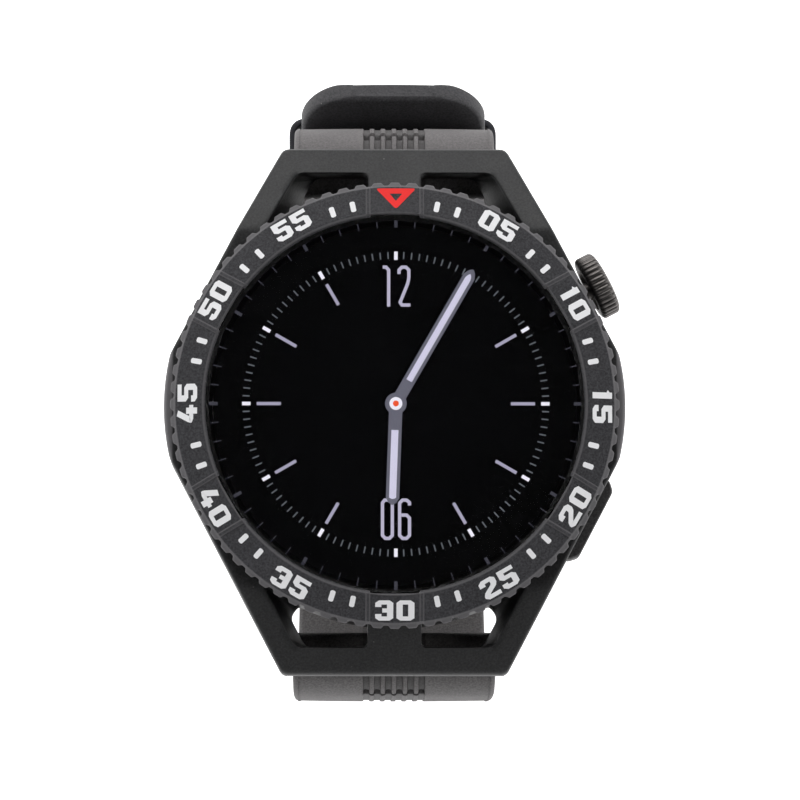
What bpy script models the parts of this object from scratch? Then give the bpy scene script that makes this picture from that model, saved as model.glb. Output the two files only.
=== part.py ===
"""Wrist dive computer: a round display in an octagonal case, a turning minute bezel, a push crown,
a side button and a buckled two-piece strap that stands on its own closed loop.

Frame: +Z out of the dial, +Y to the 12 o'clock strap, +X to the crown side. The origin is the middle
of the sensor window's outer face, straight below the dial's centre, where the wrist rests.
Every dimension below is in millimetres; MM turns them into the metres that Blender works in.
"""

from math import cos, pi, radians, sin

import bmesh
import bpy
from mathutils import Matrix, Vector

MM = 0.001

# ---------------------------------------------------------------- driving dimensions
BACK = 1.2               # height of the rear cover's outer face above the sensor's
CASE_HALF_WIDTH = 23.55  # the case is 47.1 across at 9 and 3 o'clock
SIDE_ARC = radians(13.2)  # half angle of the round side wall at 9 and 3 o'clock
SHOULDER = (22.18, 6.8)  # a point of the straight lug flank, just past the round side
LUG_END = (11.47, 27.2)   # corner of the lug end before it is rounded
LUG_CORNER_R = 0.9
CASE_TOP = BACK + 8.2
CASE_FLOOR = BACK + 1.4
LUG_FOOT = BACK - 0.6
SLOPE_START = 18.3       # distance from centre where the lugs begin to fall away
LUG_TIP_TOP = BACK + 4.4
CAVITY_R = 18.9
GLASS_SEAT_R = 19.5
GLASS_SEAT = BACK + 8.8
COLLAR_R = 20.2
COLLAR_TOP = BACK + 10.1
CORE_R = 22.2            # round middle of the case, seen through the lug windows
WINDOW_OUTER = 24.2
WINDOW_BRIDGE = 3.15
FLANK_WALL = 2.5         # width of a lug arm beside its window
STRAP_GAP = 11.0         # half of the 22 mm gap between the lugs
HOOD = BACK + 2.45       # underside of the lug end that covers the strap knuckle

BEZEL_R = 22.85
BEZEL_BOTTOM = BACK + 8.5
BEZEL_TOP = BACK + 10.75
BEZEL_INNER_R = 19.3
BEZEL_BORE_R = 20.5

GLASS_R = 19.3
GLASS_TOP = BACK + 10.15
GLASS_T = 1.0

KEY_ANGLE = radians(27.7)  # crown and button axes, square to the lug flanks
KEY_Z = BACK + 4.6
CROWN_OFFSET = 1.7      # crown axis, towards 12 o'clock from the line through the centre
CROWN_R = 3.4
BUTTON_OFFSET = -0.95     # button centre, towards 6 o'clock
FLANK = 22.8             # distance from the centre to a lug flank, along its normal

BAR_Y = 24.3             # spring bar of each strap
BAR_Z = BACK + 0.4
KNUCKLE_R = 1.7
KNUCKLE_HALF = 10.55
STRAP_HALF = 10.45        # half width of the straps at the lugs
TAIL_HALF = 9.8         # half width of the long strap at its tail
STRAP_T = 2.5
TAIL_T = 2.2
LAYER = STRAP_T / 2 + 0.25 + TAIL_T / 2  # centreline of the tail outside that of the short strap
HOLE_SIZE = (2.9, 5.0)   # adjustment hole, across and along the strap
HOLE_PITCH = 6.5
HOLE_COUNT = 9

BUCKLE_BAR = (-2.0, -36.9)  # (y, z) of the buckle's bar
FAR_BAR = (-11.6, -42.25)  # (y, z) of the frame's outer bar
KEEPER_LENGTH = 4.6
KEEPER_HALF = 11.2
KEEPER_WALL = 0.7
KEEPER_PLAY = 0.25
FIXED_KEEPER = (8.5, -38.8)   # (y, z) on the short strap
FREE_KEEPER = (30.15, -21.5)

# The short strap's centreline from the 12 o'clock spring bar to the buckle bar, as (y, z).
SHORT_PATH = [
    (BAR_Y, BAR_Z), (26.8, 1.1), (28.9, -1.3), (30.0, -5.2), (30.15, -9.8), (30.15, -13.8),
    (30.15, -18.3), (30.15, -22.3), (30.1, -25.4), (28.7, -30.4), (25.3, -34.6), (20.4, -37.6),
    (14.8, -38.7), (10.5, -38.8), (6.5, -38.8), (2.4, -38.6), (-1.7, -37.02),
]
# The long strap's centreline from the 6 o'clock spring bar to where it reaches the buckle bar.
LONG_PATH = [
    (-24.3, 1.6), (-26.2, 1.0), (-27.5, -1.5), (-27.9, -5.8), (-27.85, -11.8), (-27.4, -18.3),
    (-26.0, -25.3), (-23.2, -31.6), (-18.6, -36.2), (-13.2, -38.95), (-8.0, -40.05), (-2.6, -40.3),
]
TAIL_RISE = 8.6          # last stretch of the tail, which springs away from the short strap
TAIL_FLARE = 2.85         # how far its tip stands off
TAIL_TOP = -6.6          # height of the tail's tip


# ---------------------------------------------------------------- tools
def clear_scene():
    for obj in list(bpy.data.objects):
        bpy.data.objects.remove(obj, do_unlink=True)


def material(name, colour, roughness, metallic=0.0):
    mat = bpy.data.materials.new(name)
    mat.use_nodes = True
    shader = mat.node_tree.nodes["Principled BSDF"]
    shader.inputs["Base Color"].default_value = (*colour, 1.0)
    shader.inputs["Roughness"].default_value = roughness
    shader.inputs["Metallic"].default_value = metallic
    return mat


def link_mesh(name, bm, mat):
    """Turns a bmesh in millimetres into an object in metres, faces out, round parts smooth."""
    bmesh.ops.recalc_face_normals(bm, faces=bm.faces)
    bmesh.ops.scale(bm, vec=(MM, MM, MM), verts=bm.verts)
    mesh = bpy.data.meshes.new(name)
    bm.to_mesh(mesh)
    bm.free()
    mesh.shade_smooth()
    mesh.set_sharp_from_angle(angle=radians(30))
    mesh.materials.append(mat)
    obj = bpy.data.objects.new(name, mesh)
    bpy.context.scene.collection.objects.link(obj)
    return obj


def turned(name, profile, mat, segments=48, place=None):
    """Spins a profile of (radius, height) about +Z. Ends on the axis close to a point.
    A profile with no end on the axis is closed on itself and gives a ring."""
    bm = bmesh.new()
    on_axis = profile[0][0] == 0
    body = profile[1:-1] if on_axis else profile
    rings = []
    for k in range(segments):
        angle = 2 * pi * k / segments
        rings.append([bm.verts.new((r * cos(angle), r * sin(angle), z)) for r, z in body])
    count = len(body)
    for k in range(segments):
        here, there = rings[k], rings[(k + 1) % segments]
        for i in range(count - 1 if on_axis else count):
            j = (i + 1) % count
            bm.faces.new((here[i], there[i], there[j], here[j]))
    if on_axis:
        for end, index in ((profile[0], 0), (profile[-1], count - 1)):
            pole = bm.verts.new((0, 0, end[1]))
            for k in range(segments):
                bm.faces.new((pole, rings[k][index], rings[(k + 1) % segments][index]))
    if place is not None:
        bmesh.ops.transform(bm, matrix=place, verts=bm.verts)
    return link_mesh(name, bm, mat)


def solid_disc(name, radius, z0, z1, mat, segments=48, chamfer=0.0, place=None):
    profile = [(0, z0), (radius - chamfer, z0)]
    if chamfer:
        profile += [(radius, z0 + chamfer), (radius, z1 - chamfer)]
    profile += [(radius - chamfer, z1), (0, z1)]
    return turned(name, profile, mat, segments, place)


def flat_ring(name, inner, outer, z0, z1, mat, segments=48, place=None):
    return turned(name, [(inner, z0), (outer, z0), (outer, z1), (inner, z1)], mat, segments, place)


def lofted(name, levels, mat, place=None):
    """Joins outlines of equal point count, each given as (z, points), and caps both ends."""
    bm = bmesh.new()
    loops = [[bm.verts.new((x, y, z)) for x, y in points] for z, points in levels]
    for low, high in zip(loops, loops[1:]):
        for i in range(len(low)):
            j = (i + 1) % len(low)
            bm.faces.new((low[i], low[j], high[j], high[i]))
    bm.faces.new(reversed(loops[0]))
    bm.faces.new(loops[-1])
    if place is not None:
        bmesh.ops.transform(bm, matrix=place, verts=bm.verts)
    return link_mesh(name, bm, mat)


def extruded(name, points, z0, z1, mat, place=None):
    return lofted(name, [(z0, points), (z1, points)], mat, place)


def box(name, low, high, mat, place=None):
    (x0, y0, z0), (x1, y1, z1) = low, high
    return extruded(name, [(x0, y0), (x1, y0), (x1, y1), (x0, y1)], z0, z1, mat, place)


def along_x(x=0.0, y=0.0, z=0.0):
    """Turns local +Z to +X, for rods and rings about an X axis at (y, z)."""
    return Matrix.Translation((x, y, z)) @ Matrix.Rotation(radians(90), 4, "Y")


def key_frame(side, offset):
    """Local +Z points out of the case along a key's axis, at the keys' height.
    side is +1 for the crown and -1 for the button; offset is along the flank, towards +Y."""
    angle = side * KEY_ANGLE
    out = Vector((cos(angle), sin(angle), 0))
    along = Vector((-sin(angle), cos(angle), 0))
    turn = Matrix((along, (0, 0, 1), out)).transposed().to_4x4()
    return Matrix.Translation(along * offset + Vector((0, 0, KEY_Z))) @ turn


def boolean(target, tool, operation):
    tool.hide_render = True
    tool.display_type = "WIRE"
    modifier = target.modifiers.new(operation.title(), "BOOLEAN")
    modifier.operation = operation
    modifier.object = tool


def cut(target, *tools):
    for tool in tools:
        boolean(target, tool, "DIFFERENCE")


def join(target, *tools):
    for tool in tools:
        boolean(target, tool, "UNION")


def smooth_path(points, per_span=2):
    """Catmull-Rom curve through points, with per_span steps between two of them."""
    ends = [2 * Vector(points[0]) - Vector(points[1])]
    ends += [Vector(p) for p in points]
    ends += [2 * Vector(points[-1]) - Vector(points[-2])]
    curve = []
    for a, b, c, d in zip(ends, ends[1:], ends[2:], ends[3:]):
        for step in range(per_span):
            t = step / per_span
            curve.append(0.5 * (2 * b + (c - a) * t + (2 * a - 5 * b + 4 * c - d) * t**2
                                + (3 * b - a - 3 * c + d) * t**3))
    return curve + [Vector(points[-1])]


def path_normals(path):
    """Unit normals on the right of the path's direction."""
    normals = []
    for i in range(len(path)):
        ahead, behind = path[min(i + 1, len(path) - 1)], path[max(i - 1, 0)]
        run = (ahead - behind).normalized()
        normals.append(Vector((run.y, -run.x)))
    return normals


def path_lengths(path):
    total, lengths = 0.0, [0.0]
    for a, b in zip(path, path[1:]):
        total += (b - a).length
        lengths.append(total)
    return lengths


def banded(name, path, half_width_at, thickness_at, mat):
    """A strap: a flat section with rounded edges, carried along a path in the YZ plane.
    The two functions give half width and thickness at a distance along the path."""
    bm = bmesh.new()
    loops = []
    for point, normal, s in zip(path, path_normals(path), path_lengths(path)):
        half, thick = half_width_at(s), thickness_at(s)
        edge = min(0.5, half * 0.4)
        section = [(half, 0.18), (half - edge * 0.35, 0.42), (half - edge, 0.5),
                   (-half + edge, 0.5), (-half + edge * 0.35, 0.42), (-half, 0.18),
                   (-half, -0.18), (-half + edge * 0.35, -0.42), (-half + edge, -0.5),
                   (half - edge, -0.5), (half - edge * 0.35, -0.42), (half, -0.18)]
        loops.append([bm.verts.new((x, point.x + normal.x * n * thick, point.y + normal.y * n * thick))
                      for x, n in section])
    for low, high in zip(loops, loops[1:]):
        for i in range(len(low)):
            j = (i + 1) % len(low)
            bm.faces.new((low[i], low[j], high[j], high[i]))
    bm.faces.new(reversed(loops[0]))
    bm.faces.new(loops[-1])
    return link_mesh(name, bm, mat)


# ---------------------------------------------------------------- case
def case_outline():
    """The octagon-like outline: round sides, straight flanks and rounded lug ends."""
    quadrant = [(CASE_HALF_WIDTH * cos(SIDE_ARC * k / 3), CASE_HALF_WIDTH * sin(SIDE_ARC * k / 3))
                for k in range(4)]
    quadrant.append(SHOULDER)
    centre = (LUG_END[0] - LUG_CORNER_R * 0.52, LUG_END[1] - LUG_CORNER_R)
    for k in range(4):
        angle = KEY_ANGLE + (pi / 2 - KEY_ANGLE) * k / 3
        quadrant.append((centre[0] + LUG_CORNER_R * cos(angle), centre[1] + LUG_CORNER_R * sin(angle)))
    left = [(-x, y) for x, y in reversed(quadrant)]
    top = quadrant + left
    bottom = [(x, -y) for x, y in reversed(top)]
    return top + bottom[1:-1]


def scaled(points, factor):
    return [(x * factor, y * factor) for x, y in points]


def window_outline(sx, sy):
    """One lug window: bounded by the round core, the bridge, the lug end and the lug arm."""
    flank = Vector((cos(KEY_ANGLE), sin(KEY_ANGLE)))
    reach = FLANK - FLANK_WALL
    corner_x = (reach - WINDOW_OUTER * flank.y) / flank.x
    inner_start = (WINDOW_BRIDGE, (CORE_R**2 - WINDOW_BRIDGE**2) ** 0.5)
    along = Vector((-flank.y, flank.x))
    drop = (CORE_R**2 - reach**2) ** 0.5
    inner_end = flank * reach + along * drop
    angle_0 = Vector(inner_start).angle_signed(Vector((1, 0)))
    angle_1 = inner_end.angle_signed(Vector((1, 0)))
    arc = [(CORE_R * cos(angle_1 + (angle_0 - angle_1) * k / 5),
            CORE_R * sin(angle_1 + (angle_0 - angle_1) * k / 5)) for k in range(6)]
    points = [(WINDOW_BRIDGE, WINDOW_OUTER - 0.5), (WINDOW_BRIDGE + 0.5, WINDOW_OUTER),
              (corner_x - 0.6, WINDOW_OUTER), (corner_x + 0.2, WINDOW_OUTER - 0.8)]
    points = points + arc
    return [(x * sx, y * sy) for x, y in points]


def build_case(mat):
    outline = case_outline()
    levels = [(LUG_FOOT, 0.965), (LUG_FOOT + 1.0, 0.99), (BACK + 2.6, 1.0), (CASE_TOP - 0.7, 1.0),
              (CASE_TOP, 0.975)]
    case = lofted("case_body", [(z, scaled(outline, f)) for z, f in levels], mat)
    join(case, flat_ring("tool_collar", CAVITY_R - 0.5, COLLAR_R, CASE_TOP - 1.0, COLLAR_TOP, mat, 56))
    far = 40.0
    for sign in (1, -1):
        slope = [(SLOPE_START, CASE_TOP), (LUG_END[1], LUG_TIP_TOP), (far, LUG_TIP_TOP - 5),
                 (far, far + BACK), (SLOPE_START, far + BACK)]
        wedge = lofted(f"tool_slope_{sign}", [(-far, slope), (far, slope)], mat,
                       Matrix(((0, 0, 1, 0), (sign, 0, 0, 0), (0, 1, 0, 0), (0, 0, 0, 1))))
        core_keep = solid_disc(f"tool_core_{sign}", CORE_R + 0.01, BACK, CASE_TOP + 4, mat, 56)
        cut(wedge, core_keep)
        recess = box(f"tool_recess_{sign}", (-STRAP_GAP, min(22.45 * sign, far * sign), LUG_FOOT - 3),
                     (STRAP_GAP, max(22.45 * sign, far * sign), HOOD), mat)
        cut(case, wedge, recess)
        for side in (1, -1):
            cut(case, extruded(f"tool_window_{sign}_{side}", window_outline(side, sign),
                               LUG_FOOT - 2, CASE_TOP + 2, mat))
            cut(case, solid_disc(f"tool_lug_hole_{sign}_{side}", 0.8, 10.0, 12.3, mat, 16,
                                 place=Matrix.Translation((0, sign * BAR_Y, BAR_Z))
                                 @ Matrix.Rotation(radians(90 * side), 4, "Y")))
    cut(case,
        box("tool_underside", (-far, -16.0, LUG_FOOT - 2), (far, 16.0, CASE_FLOOR), mat),
        solid_disc("tool_cover_seat", 21.7, LUG_FOOT - 2, CASE_FLOOR, mat, 56),
        solid_disc("tool_cavity", CAVITY_R, BACK, GLASS_SEAT + 0.5, mat, 56),
        solid_disc("tool_glass_seat", GLASS_SEAT_R, GLASS_SEAT, COLLAR_TOP + 2, mat, 56),
        flat_ring("tool_click_groove", 20.5, 21.4, CASE_TOP - 0.55, CASE_TOP + 0.2, mat, 56))
    crown, button = key_frame(1, CROWN_OFFSET), key_frame(-1, BUTTON_OFFSET)
    cut(case,
        solid_disc("tool_crown_bore", 2.3, 15.0, 24.0, mat, 24, place=crown),
        solid_disc("tool_button_bore", 1.0, 15.0, 24.0, mat, 20, place=button),
        box("tool_button_pocket", (-4.75, -1.85, 21.3), (4.75, 1.85, 26.0), mat, button),
        solid_disc("tool_depth_port", 0.55, 15.0, 26.0, mat, 12,
                   place=Matrix.Translation((0, 0, KEY_Z)) @ Matrix.Rotation(radians(-90), 4, "Y")))
    for x, y in screw_places():
        cut(case, solid_disc(f"tool_screw_hole_{x:.0f}_{y:.0f}", 0.75, BACK, BACK + 4.4, mat, 12,
                             place=Matrix.Translation((x, y, 0))))
    return case


def screw_places():
    return [(20.15 * cos(radians(a)), 20.15 * sin(radians(a))) for a in (45, 135, 225, 315)]


def build_rear(cover_mat, glass_mat, seal_mat, screw_mat):
    profile = [(9.0, BACK), (20.9, BACK), (21.4, BACK + 0.4), (21.4, BACK + 1.2), (18.5, BACK + 1.2),
               (18.5, BACK + 2.2), (17.7, BACK + 2.2), (17.7, BACK + 1.2), (10.2, BACK + 1.2),
               (10.2, BACK + 0.9), (9.0, BACK + 0.6)]
    cover = turned("rear_cover", profile, cover_mat, 48)
    for i, (x, y) in enumerate(screw_places()):
        place = Matrix.Translation((x, y, 0))
        seat = turned(f"tool_screw_seat_{i}", [(0, BACK - 1), (1.15, BACK - 1), (1.15, BACK + 0.6),
                                               (0.75, BACK + 0.6), (0.75, BACK + 2), (0, BACK + 2)],
                      cover_mat, 12, place)
        cut(cover, seat)
        screw = turned(f"rear_cover_screw_{i + 1}",
                       [(0, BACK + 0.35), (0.4, BACK + 0.35), (0.4, BACK + 0.1), (0.95, BACK + 0.1),
                        (0.95, BACK + 0.5), (0.5, BACK + 0.55), (0.5, BACK + 4.0), (0, BACK + 4.1)],
                       screw_mat, 12, place)
        screw.name = f"rear_cover_screw_{i + 1}"
    turned("sensor_window", [(0, BACK - 1.2), (5.2, BACK - 1.2), (7.4, BACK - 0.85), (8.7, BACK - 0.2),
                             (8.7, BACK + 0.62), (9.9, BACK + 0.98), (9.9, BACK + 1.3), (0, BACK + 1.3)],
           glass_mat, 32)
    turned("rear_cover_gasket", [(18.55 + 0.15, BACK + 1.55), (18.85, BACK + 1.45), (18.85, BACK + 1.95),
                                 (18.7, BACK + 1.85)], seal_mat, 32)


def build_electronics(mats):
    """Everything sealed in the case, from the sensor up to the glass."""
    solid_disc("sensor_board", 8.6, BACK + 1.55, BACK + 2.15, mats["board"], 24)
    flat_ring("charging_coil", 9.6, 13.2, BACK + 1.6, BACK + 2.1, mats["copper"], 28)
    solid_disc("battery", 13.0, BACK + 2.6, BACK + 6.3, mats["cell"], 28, 0.3)
    frame = flat_ring("inner_frame", 13.4, 14.3, BACK + 2.4, BACK + 7.7, mats["carrier"], 28)
    cut(frame, box("tool_frame_slot", (-3, -16, BACK + 5.0), (3, -12, BACK + 9), mats["carrier"]))
    board = solid_disc("main_board", 13.0, BACK + 6.6, BACK + 7.2, mats["board"], 28)
    join(board, box("tool_processor", (-8, -3, BACK + 7.1), (-1, 4, BACK + 7.75), mats["board"]),
         box("tool_memory", (2, 1, BACK + 7.1), (7, 6, BACK + 7.65), mats["board"]))
    solid_disc("display_panel", 18.5, BACK + 8.15, BACK + 8.75, mats["display"], 48)
    flat_ring("glass_gasket", 18.95, 19.4, BACK + 8.85, BACK + 9.1, mats["seal"], 32)
    solid_disc("cover_glass", GLASS_R, GLASS_TOP - GLASS_T, GLASS_TOP, mats["glass"], 60, 0.15)
    solid_disc("vibration_motor", 1.45, -3.6, 3.6, mats["steel"], 20,
               place=Matrix.Translation((0, -16.6, BACK + 4.4)) @ Matrix.Rotation(radians(90), 4, "Y"))
    box("speaker", (-4.0, 15.0, BACK + 3.0), (4.0, 17.8, BACK + 6.4), mats["dark"])
    sensor = solid_disc("depth_sensor", 1.5, 15.2, 18.6, mats["steel"], 20,
                        place=Matrix.Translation((0, 0, KEY_Z)) @ Matrix.Rotation(radians(-90), 4, "Y"))
    return sensor


# ---------------------------------------------------------------- bezel
def build_bezel(mats):
    profile = [(BEZEL_BORE_R, BEZEL_BOTTOM), (21.9, BEZEL_BOTTOM), (BEZEL_R, BEZEL_BOTTOM + 0.5),
               (BEZEL_R, BEZEL_BOTTOM + 1.0), (21.95, BEZEL_BOTTOM + 1.4), (19.65, BEZEL_TOP),
               (BEZEL_INNER_R, BEZEL_TOP - 0.25), (BEZEL_INNER_R, BEZEL_TOP - 0.42),
               (BEZEL_BORE_R, BEZEL_TOP - 0.42), (BEZEL_BORE_R, BEZEL_BOTTOM + 1.0),
               (21.0, BEZEL_BOTTOM + 1.0), (21.0, BEZEL_BOTTOM + 0.45), (BEZEL_BORE_R, BEZEL_BOTTOM + 0.45)]
    turned("bezel_ring", profile, mats["bezel"], 60)
    flat_ring("bezel_retaining_ring", 20.35, 20.85, BEZEL_BOTTOM + 0.55, BEZEL_BOTTOM + 0.85,
              mats["steel"], 32)
    spring = flat_ring("bezel_click_spring", 20.65, 21.25, CASE_TOP - 0.45, CASE_TOP - 0.25,
                       mats["steel"], 32)
    tab = box("tool_click_tab", (-1.2, 20.7, CASE_TOP - 0.4), (1.2, 21.15, CASE_TOP + 0.18), mats["steel"])
    join(spring, tab)
    cut(spring, box("tool_spring_gap", (-3.2, -22, CASE_TOP - 1), (3.2, -20, CASE_TOP + 1), mats["steel"]))


# ---------------------------------------------------------------- keys
def build_crown(mats):
    place = key_frame(1, CROWN_OFFSET)

    profile = [(0, 24.55), (1.15, 24.55), (1.15, 23.45), (2.95, 23.45), (CROWN_R, 23.7),
               (CROWN_R, 25.25), (3.0, 25.6), (0, 25.75)]
    turned("crown_knob", profile, mats["gunmetal"], 28, place)
    turned("crown_shaft", [(0, 24.25), (0.85, 24.25), (0.85, 18.2), (1.9, 18.2), (1.9, 17.6), (0, 17.6)],
           mats["steel"], 20, place)
    turned("crown_tube", [(1.15, 19.4), (2.0, 19.4), (2.0, 22.7), (1.75, 22.7), (1.75, 22.0),
                          (1.15, 22.0)], mats["steel"], 18, place)
    turned("crown_seal", [(1.2, 22.35), (1.45, 22.1), (1.68, 22.35), (1.45, 22.6)], mats["seal"], 20, place)
    turned("crown_plunger", [(0, 17.2), (1.3, 17.2), (1.3, 16.7), (0.6, 16.7), (0.6, 16.2), (0, 16.2)],
           mats["carrier"], 16, place)
    box("crown_switch", (-1.6, -1.3, 14.8), (1.6, 1.3, 15.45), mats["dark"], place)


def build_button(mats):
    place = key_frame(-1, BUTTON_OFFSET)
    outer, base = 3.6, 4.55
    plan = [(-base, 21.95), (base, 21.95), (base, 22.85), (outer, 23.75), (-outer, 23.75), (-base, 22.85)]
    turn = Matrix(((1, 0, 0, 0), (0, 0, 1, 0), (0, 1, 0, 0), (0, 0, 0, 1)))
    levels = [(-1.6, [(x * 0.97, a) for x, a in plan]), (-1.3, plan), (1.3, plan),
              (1.6, [(x * 0.97, a) for x, a in plan])]
    button = lofted("side_button", levels, mats["bezel"], place @ turn)
    solid_disc("button_stem", 0.65, 18.7, 21.6, mats["steel"], 16, place=place)
    turned("button_seal", [(0.72, 20.3), (0.84, 20.1), (0.95, 20.3), (0.84, 20.5)], mats["seal"], 16, place)
    box("button_switch", (-1.5, -1.2, 16.9), (1.5, 1.2, 18.0), mats["dark"], place)
    return button


# ---------------------------------------------------------------- strap
def taper(start, end, length):
    return lambda s: start + (end - start) * min(s / length, 1.0)


def wrap_layers():
    """The short strap's centreline and the tail's, which follows it one layer further out."""
    short = smooth_path(SHORT_PATH)
    normals = path_normals(short)
    outer = [p - n * LAYER for p, n in zip(short, normals)]
    laid = [p for p in reversed(outer) if p.x > 4.0 and p.y < TAIL_TOP]
    run = path_lengths(laid)
    out = []
    for p, s in zip(laid, run):
        share = max(0.0, (s - run[-1] + TAIL_RISE) / TAIL_RISE)
        out.append(p + Vector((TAIL_FLARE * share**2, 0)))
    return short, out


def knuckle(name, x_half, centre, radius, mat, segments=20):
    return solid_disc(name, radius, -x_half, x_half, mat, segments, place=along_x(0, *centre))


def build_short_strap(path, mats):
    length = path_lengths(path)[-1]
    strap = banded("strap_short", path, taper(STRAP_HALF, 10.0, length),
                   taper(STRAP_T + 0.2, STRAP_T, 12.0), mats["strap"])
    join(strap, knuckle("tool_short_knuckle", KNUCKLE_HALF, (BAR_Y, BAR_Z), KNUCKLE_R, mats["strap"]),
         knuckle("tool_short_eye", 9.87, BUCKLE_BAR, 1.83, mats["strap"], 18))
    cut(strap, knuckle("tool_short_bore", 14.0, (BAR_Y, BAR_Z), 1.05, mats["strap"], 16),
        knuckle("tool_eye_bore", 14.0, BUCKLE_BAR, 1.0, mats["strap"], 16),
        box("tool_tongue_notch", (-1.72, BUCKLE_BAR[0] - 4, BUCKLE_BAR[1] - 4),
            (1.68, BUCKLE_BAR[0] + 2.13, BUCKLE_BAR[1] + 4), mats["strap"]),
        box("tool_short_lever_slot", (4.6, BAR_Y - 3.2, BAR_Z - 3), (8.6, BAR_Y + 0.8, BAR_Z + 0.2),
            mats["strap"]))
    return strap


def build_long_strap(tail, mats):
    path = smooth_path(LONG_PATH + [tuple(p) for p in tail[::2]] + [tuple(tail[-1])], 2)
    run = path_lengths(path)
    length = run[-1]
    tip = 6.5

    def half_width(s):
        plain = STRAP_HALF + (TAIL_HALF - STRAP_HALF) * s / length
        left = max((length - s) / tip, 0.0)
        if left >= 1.0:
            return plain
        return plain * (1 - (1 - left) ** 2.6) ** 0.385 * 0.999 + 0.01

    tip_steps = [length - tip * (1 - k / 6) ** 1.6 for k in range(7)]
    stations, i = [], 0
    for s in sorted([s for s in run if s < length - tip - 0.5] + tip_steps):
        while i < len(run) - 2 and run[i + 1] < s:
            i += 1
        t = min(max((s - run[i]) / (run[i + 1] - run[i]), 0), 1)
        stations.append(path[i].lerp(path[i + 1], t))
    strap = banded("strap_long", stations, lambda s: max(half_width(s), 3.5),
                   taper(STRAP_T, TAIL_T, 45.0), mats["strap"])
    join(strap, knuckle("tool_long_knuckle", KNUCKLE_HALF, (-BAR_Y, BAR_Z), KNUCKLE_R, mats["strap"]))
    cut(strap, knuckle("tool_long_bore", 14.0, (-BAR_Y, BAR_Z), 1.05, mats["strap"], 16),
        box("tool_long_lever_slot", (4.6, -BAR_Y - 0.8, BAR_Z - 3), (8.6, -BAR_Y + 3.2, BAR_Z + 0.2),
            mats["strap"]))
    for k, (point, run_dir) in enumerate(hole_places(path)):
        cut(strap, hole_cutter(f"tool_strap_hole_{k}", point, run_dir, mats["strap"]))
    return strap


def hole_places(path):
    """Centres and directions of the adjustment holes; the buckle's tongue is in the second."""
    run = path_lengths(path)
    i = max(j for j in range(len(path)) if path[j].x < TONGUE_HOLE_Y)
    at_tongue = run[i] + (TONGUE_HOLE_Y - path[i].x) * (run[i + 1] - run[i]) / (path[i + 1].x - path[i].x)
    places = []
    for k in range(HOLE_COUNT):
        s = at_tongue + (k - 1) * HOLE_PITCH
        i = max(j for j in range(len(run) - 1) if run[j] <= s)
        t = (s - run[i]) / (run[i + 1] - run[i])
        places.append((path[i].lerp(path[i + 1], t), (path[i + 1] - path[i]).normalized()))
    return places


def hole_cutter(name, point, run_dir, mat):
    across, along = HOLE_SIZE
    straight = (along - across) / 2
    outline = []
    for k in range(10):
        angle = 2 * pi * (k + 0.5) / 10
        x, y = across / 2 * cos(angle), across / 2 * sin(angle)
        outline.append((x, y + (straight if y > 0 else -straight)))
    normal = Vector((run_dir.y, -run_dir.x))
    turn = Matrix(((1, 0, 0), (0, run_dir.x, run_dir.y), (0, normal.x, normal.y))).transposed().to_4x4()
    return extruded(name, outline, -2.0, 2.0, mat, Matrix.Translation((0, point.x, point.y)) @ turn)


TONGUE_HOLE_Y = -6.6
TONGUE_PATH = [(-2.0, -36.9), (-4.6, -37.25), (-6.0, -38.4), (-7.7, -40.9), (-9.0, -42.05), (-11.0, -42.8), (-12.9, -43.05)]


def build_buckle(mats):
    steel = mats["gunmetal"]
    bar = solid_disc("buckle_bar", 0.7, -12.0, 12.0, mats["steel"], 16, place=along_x(0, *BUCKLE_BAR))
    reach = Vector(FAR_BAR) - Vector(BUCKLE_BAR)
    run = reach.normalized()
    side = Vector((-run.y, run.x))
    if side.y < 0:
        side = -side
    local = Matrix(((0, 0, 1, 0), (run.x, side.x, 0, BUCKLE_BAR[0]), (run.y, side.y, 0, BUCKLE_BAR[1]),
                    (0, 0, 0, 1)))
    arm = [(-1.7, -1.2), (-1.2, -1.7), (1.2, -1.7), (reach.length, -1.35), (reach.length + 1.2, -0.9),
           (reach.length + 1.2, 0.6), (reach.length, 1.1), (1.2, 1.7), (-1.2, 1.7), (-1.7, 1.2)]
    frame = extruded("buckle_frame", arm, 10.75, 12.35, steel, local)
    join(frame, extruded("tool_left_arm", arm, -12.35, -10.75, steel, local))
    length = reach.length
    rail = [(length - 0.9, -1.05), (length - 0.4, -1.25), (length + 0.6, -1.1), (length + 1.05, -0.65),
            (length + 1.05, 0.3), (length + 0.4, 0.75), (length - 0.6, 0.75), (length - 1.0, 0.25)]
    join(frame, extruded("tool_rail", rail, -11.5, 11.5, steel, local))
    cut(frame, knuckle("tool_frame_bore", 14.0, BUCKLE_BAR, 1.0, steel, 16),
        box("tool_tongue_seat", (-1.4, FAR_BAR[0] - 4, FAR_BAR[1] - 5), (1.4, FAR_BAR[0] + 3, FAR_BAR[1] + 0.35), steel))
    tongue_path = smooth_path(TONGUE_PATH, 3)
    tongue = banded("buckle_tongue", tongue_path[1:], lambda s: 0.95, lambda s: 1.0, steel)
    join(tongue, knuckle("tool_tongue_eye", 1.3, BUCKLE_BAR, 1.55, steel))
    cut(tongue, knuckle("tool_tongue_bore", 3.0, BUCKLE_BAR, 1.0, steel, 16))
    return bar, frame, tongue


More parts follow.
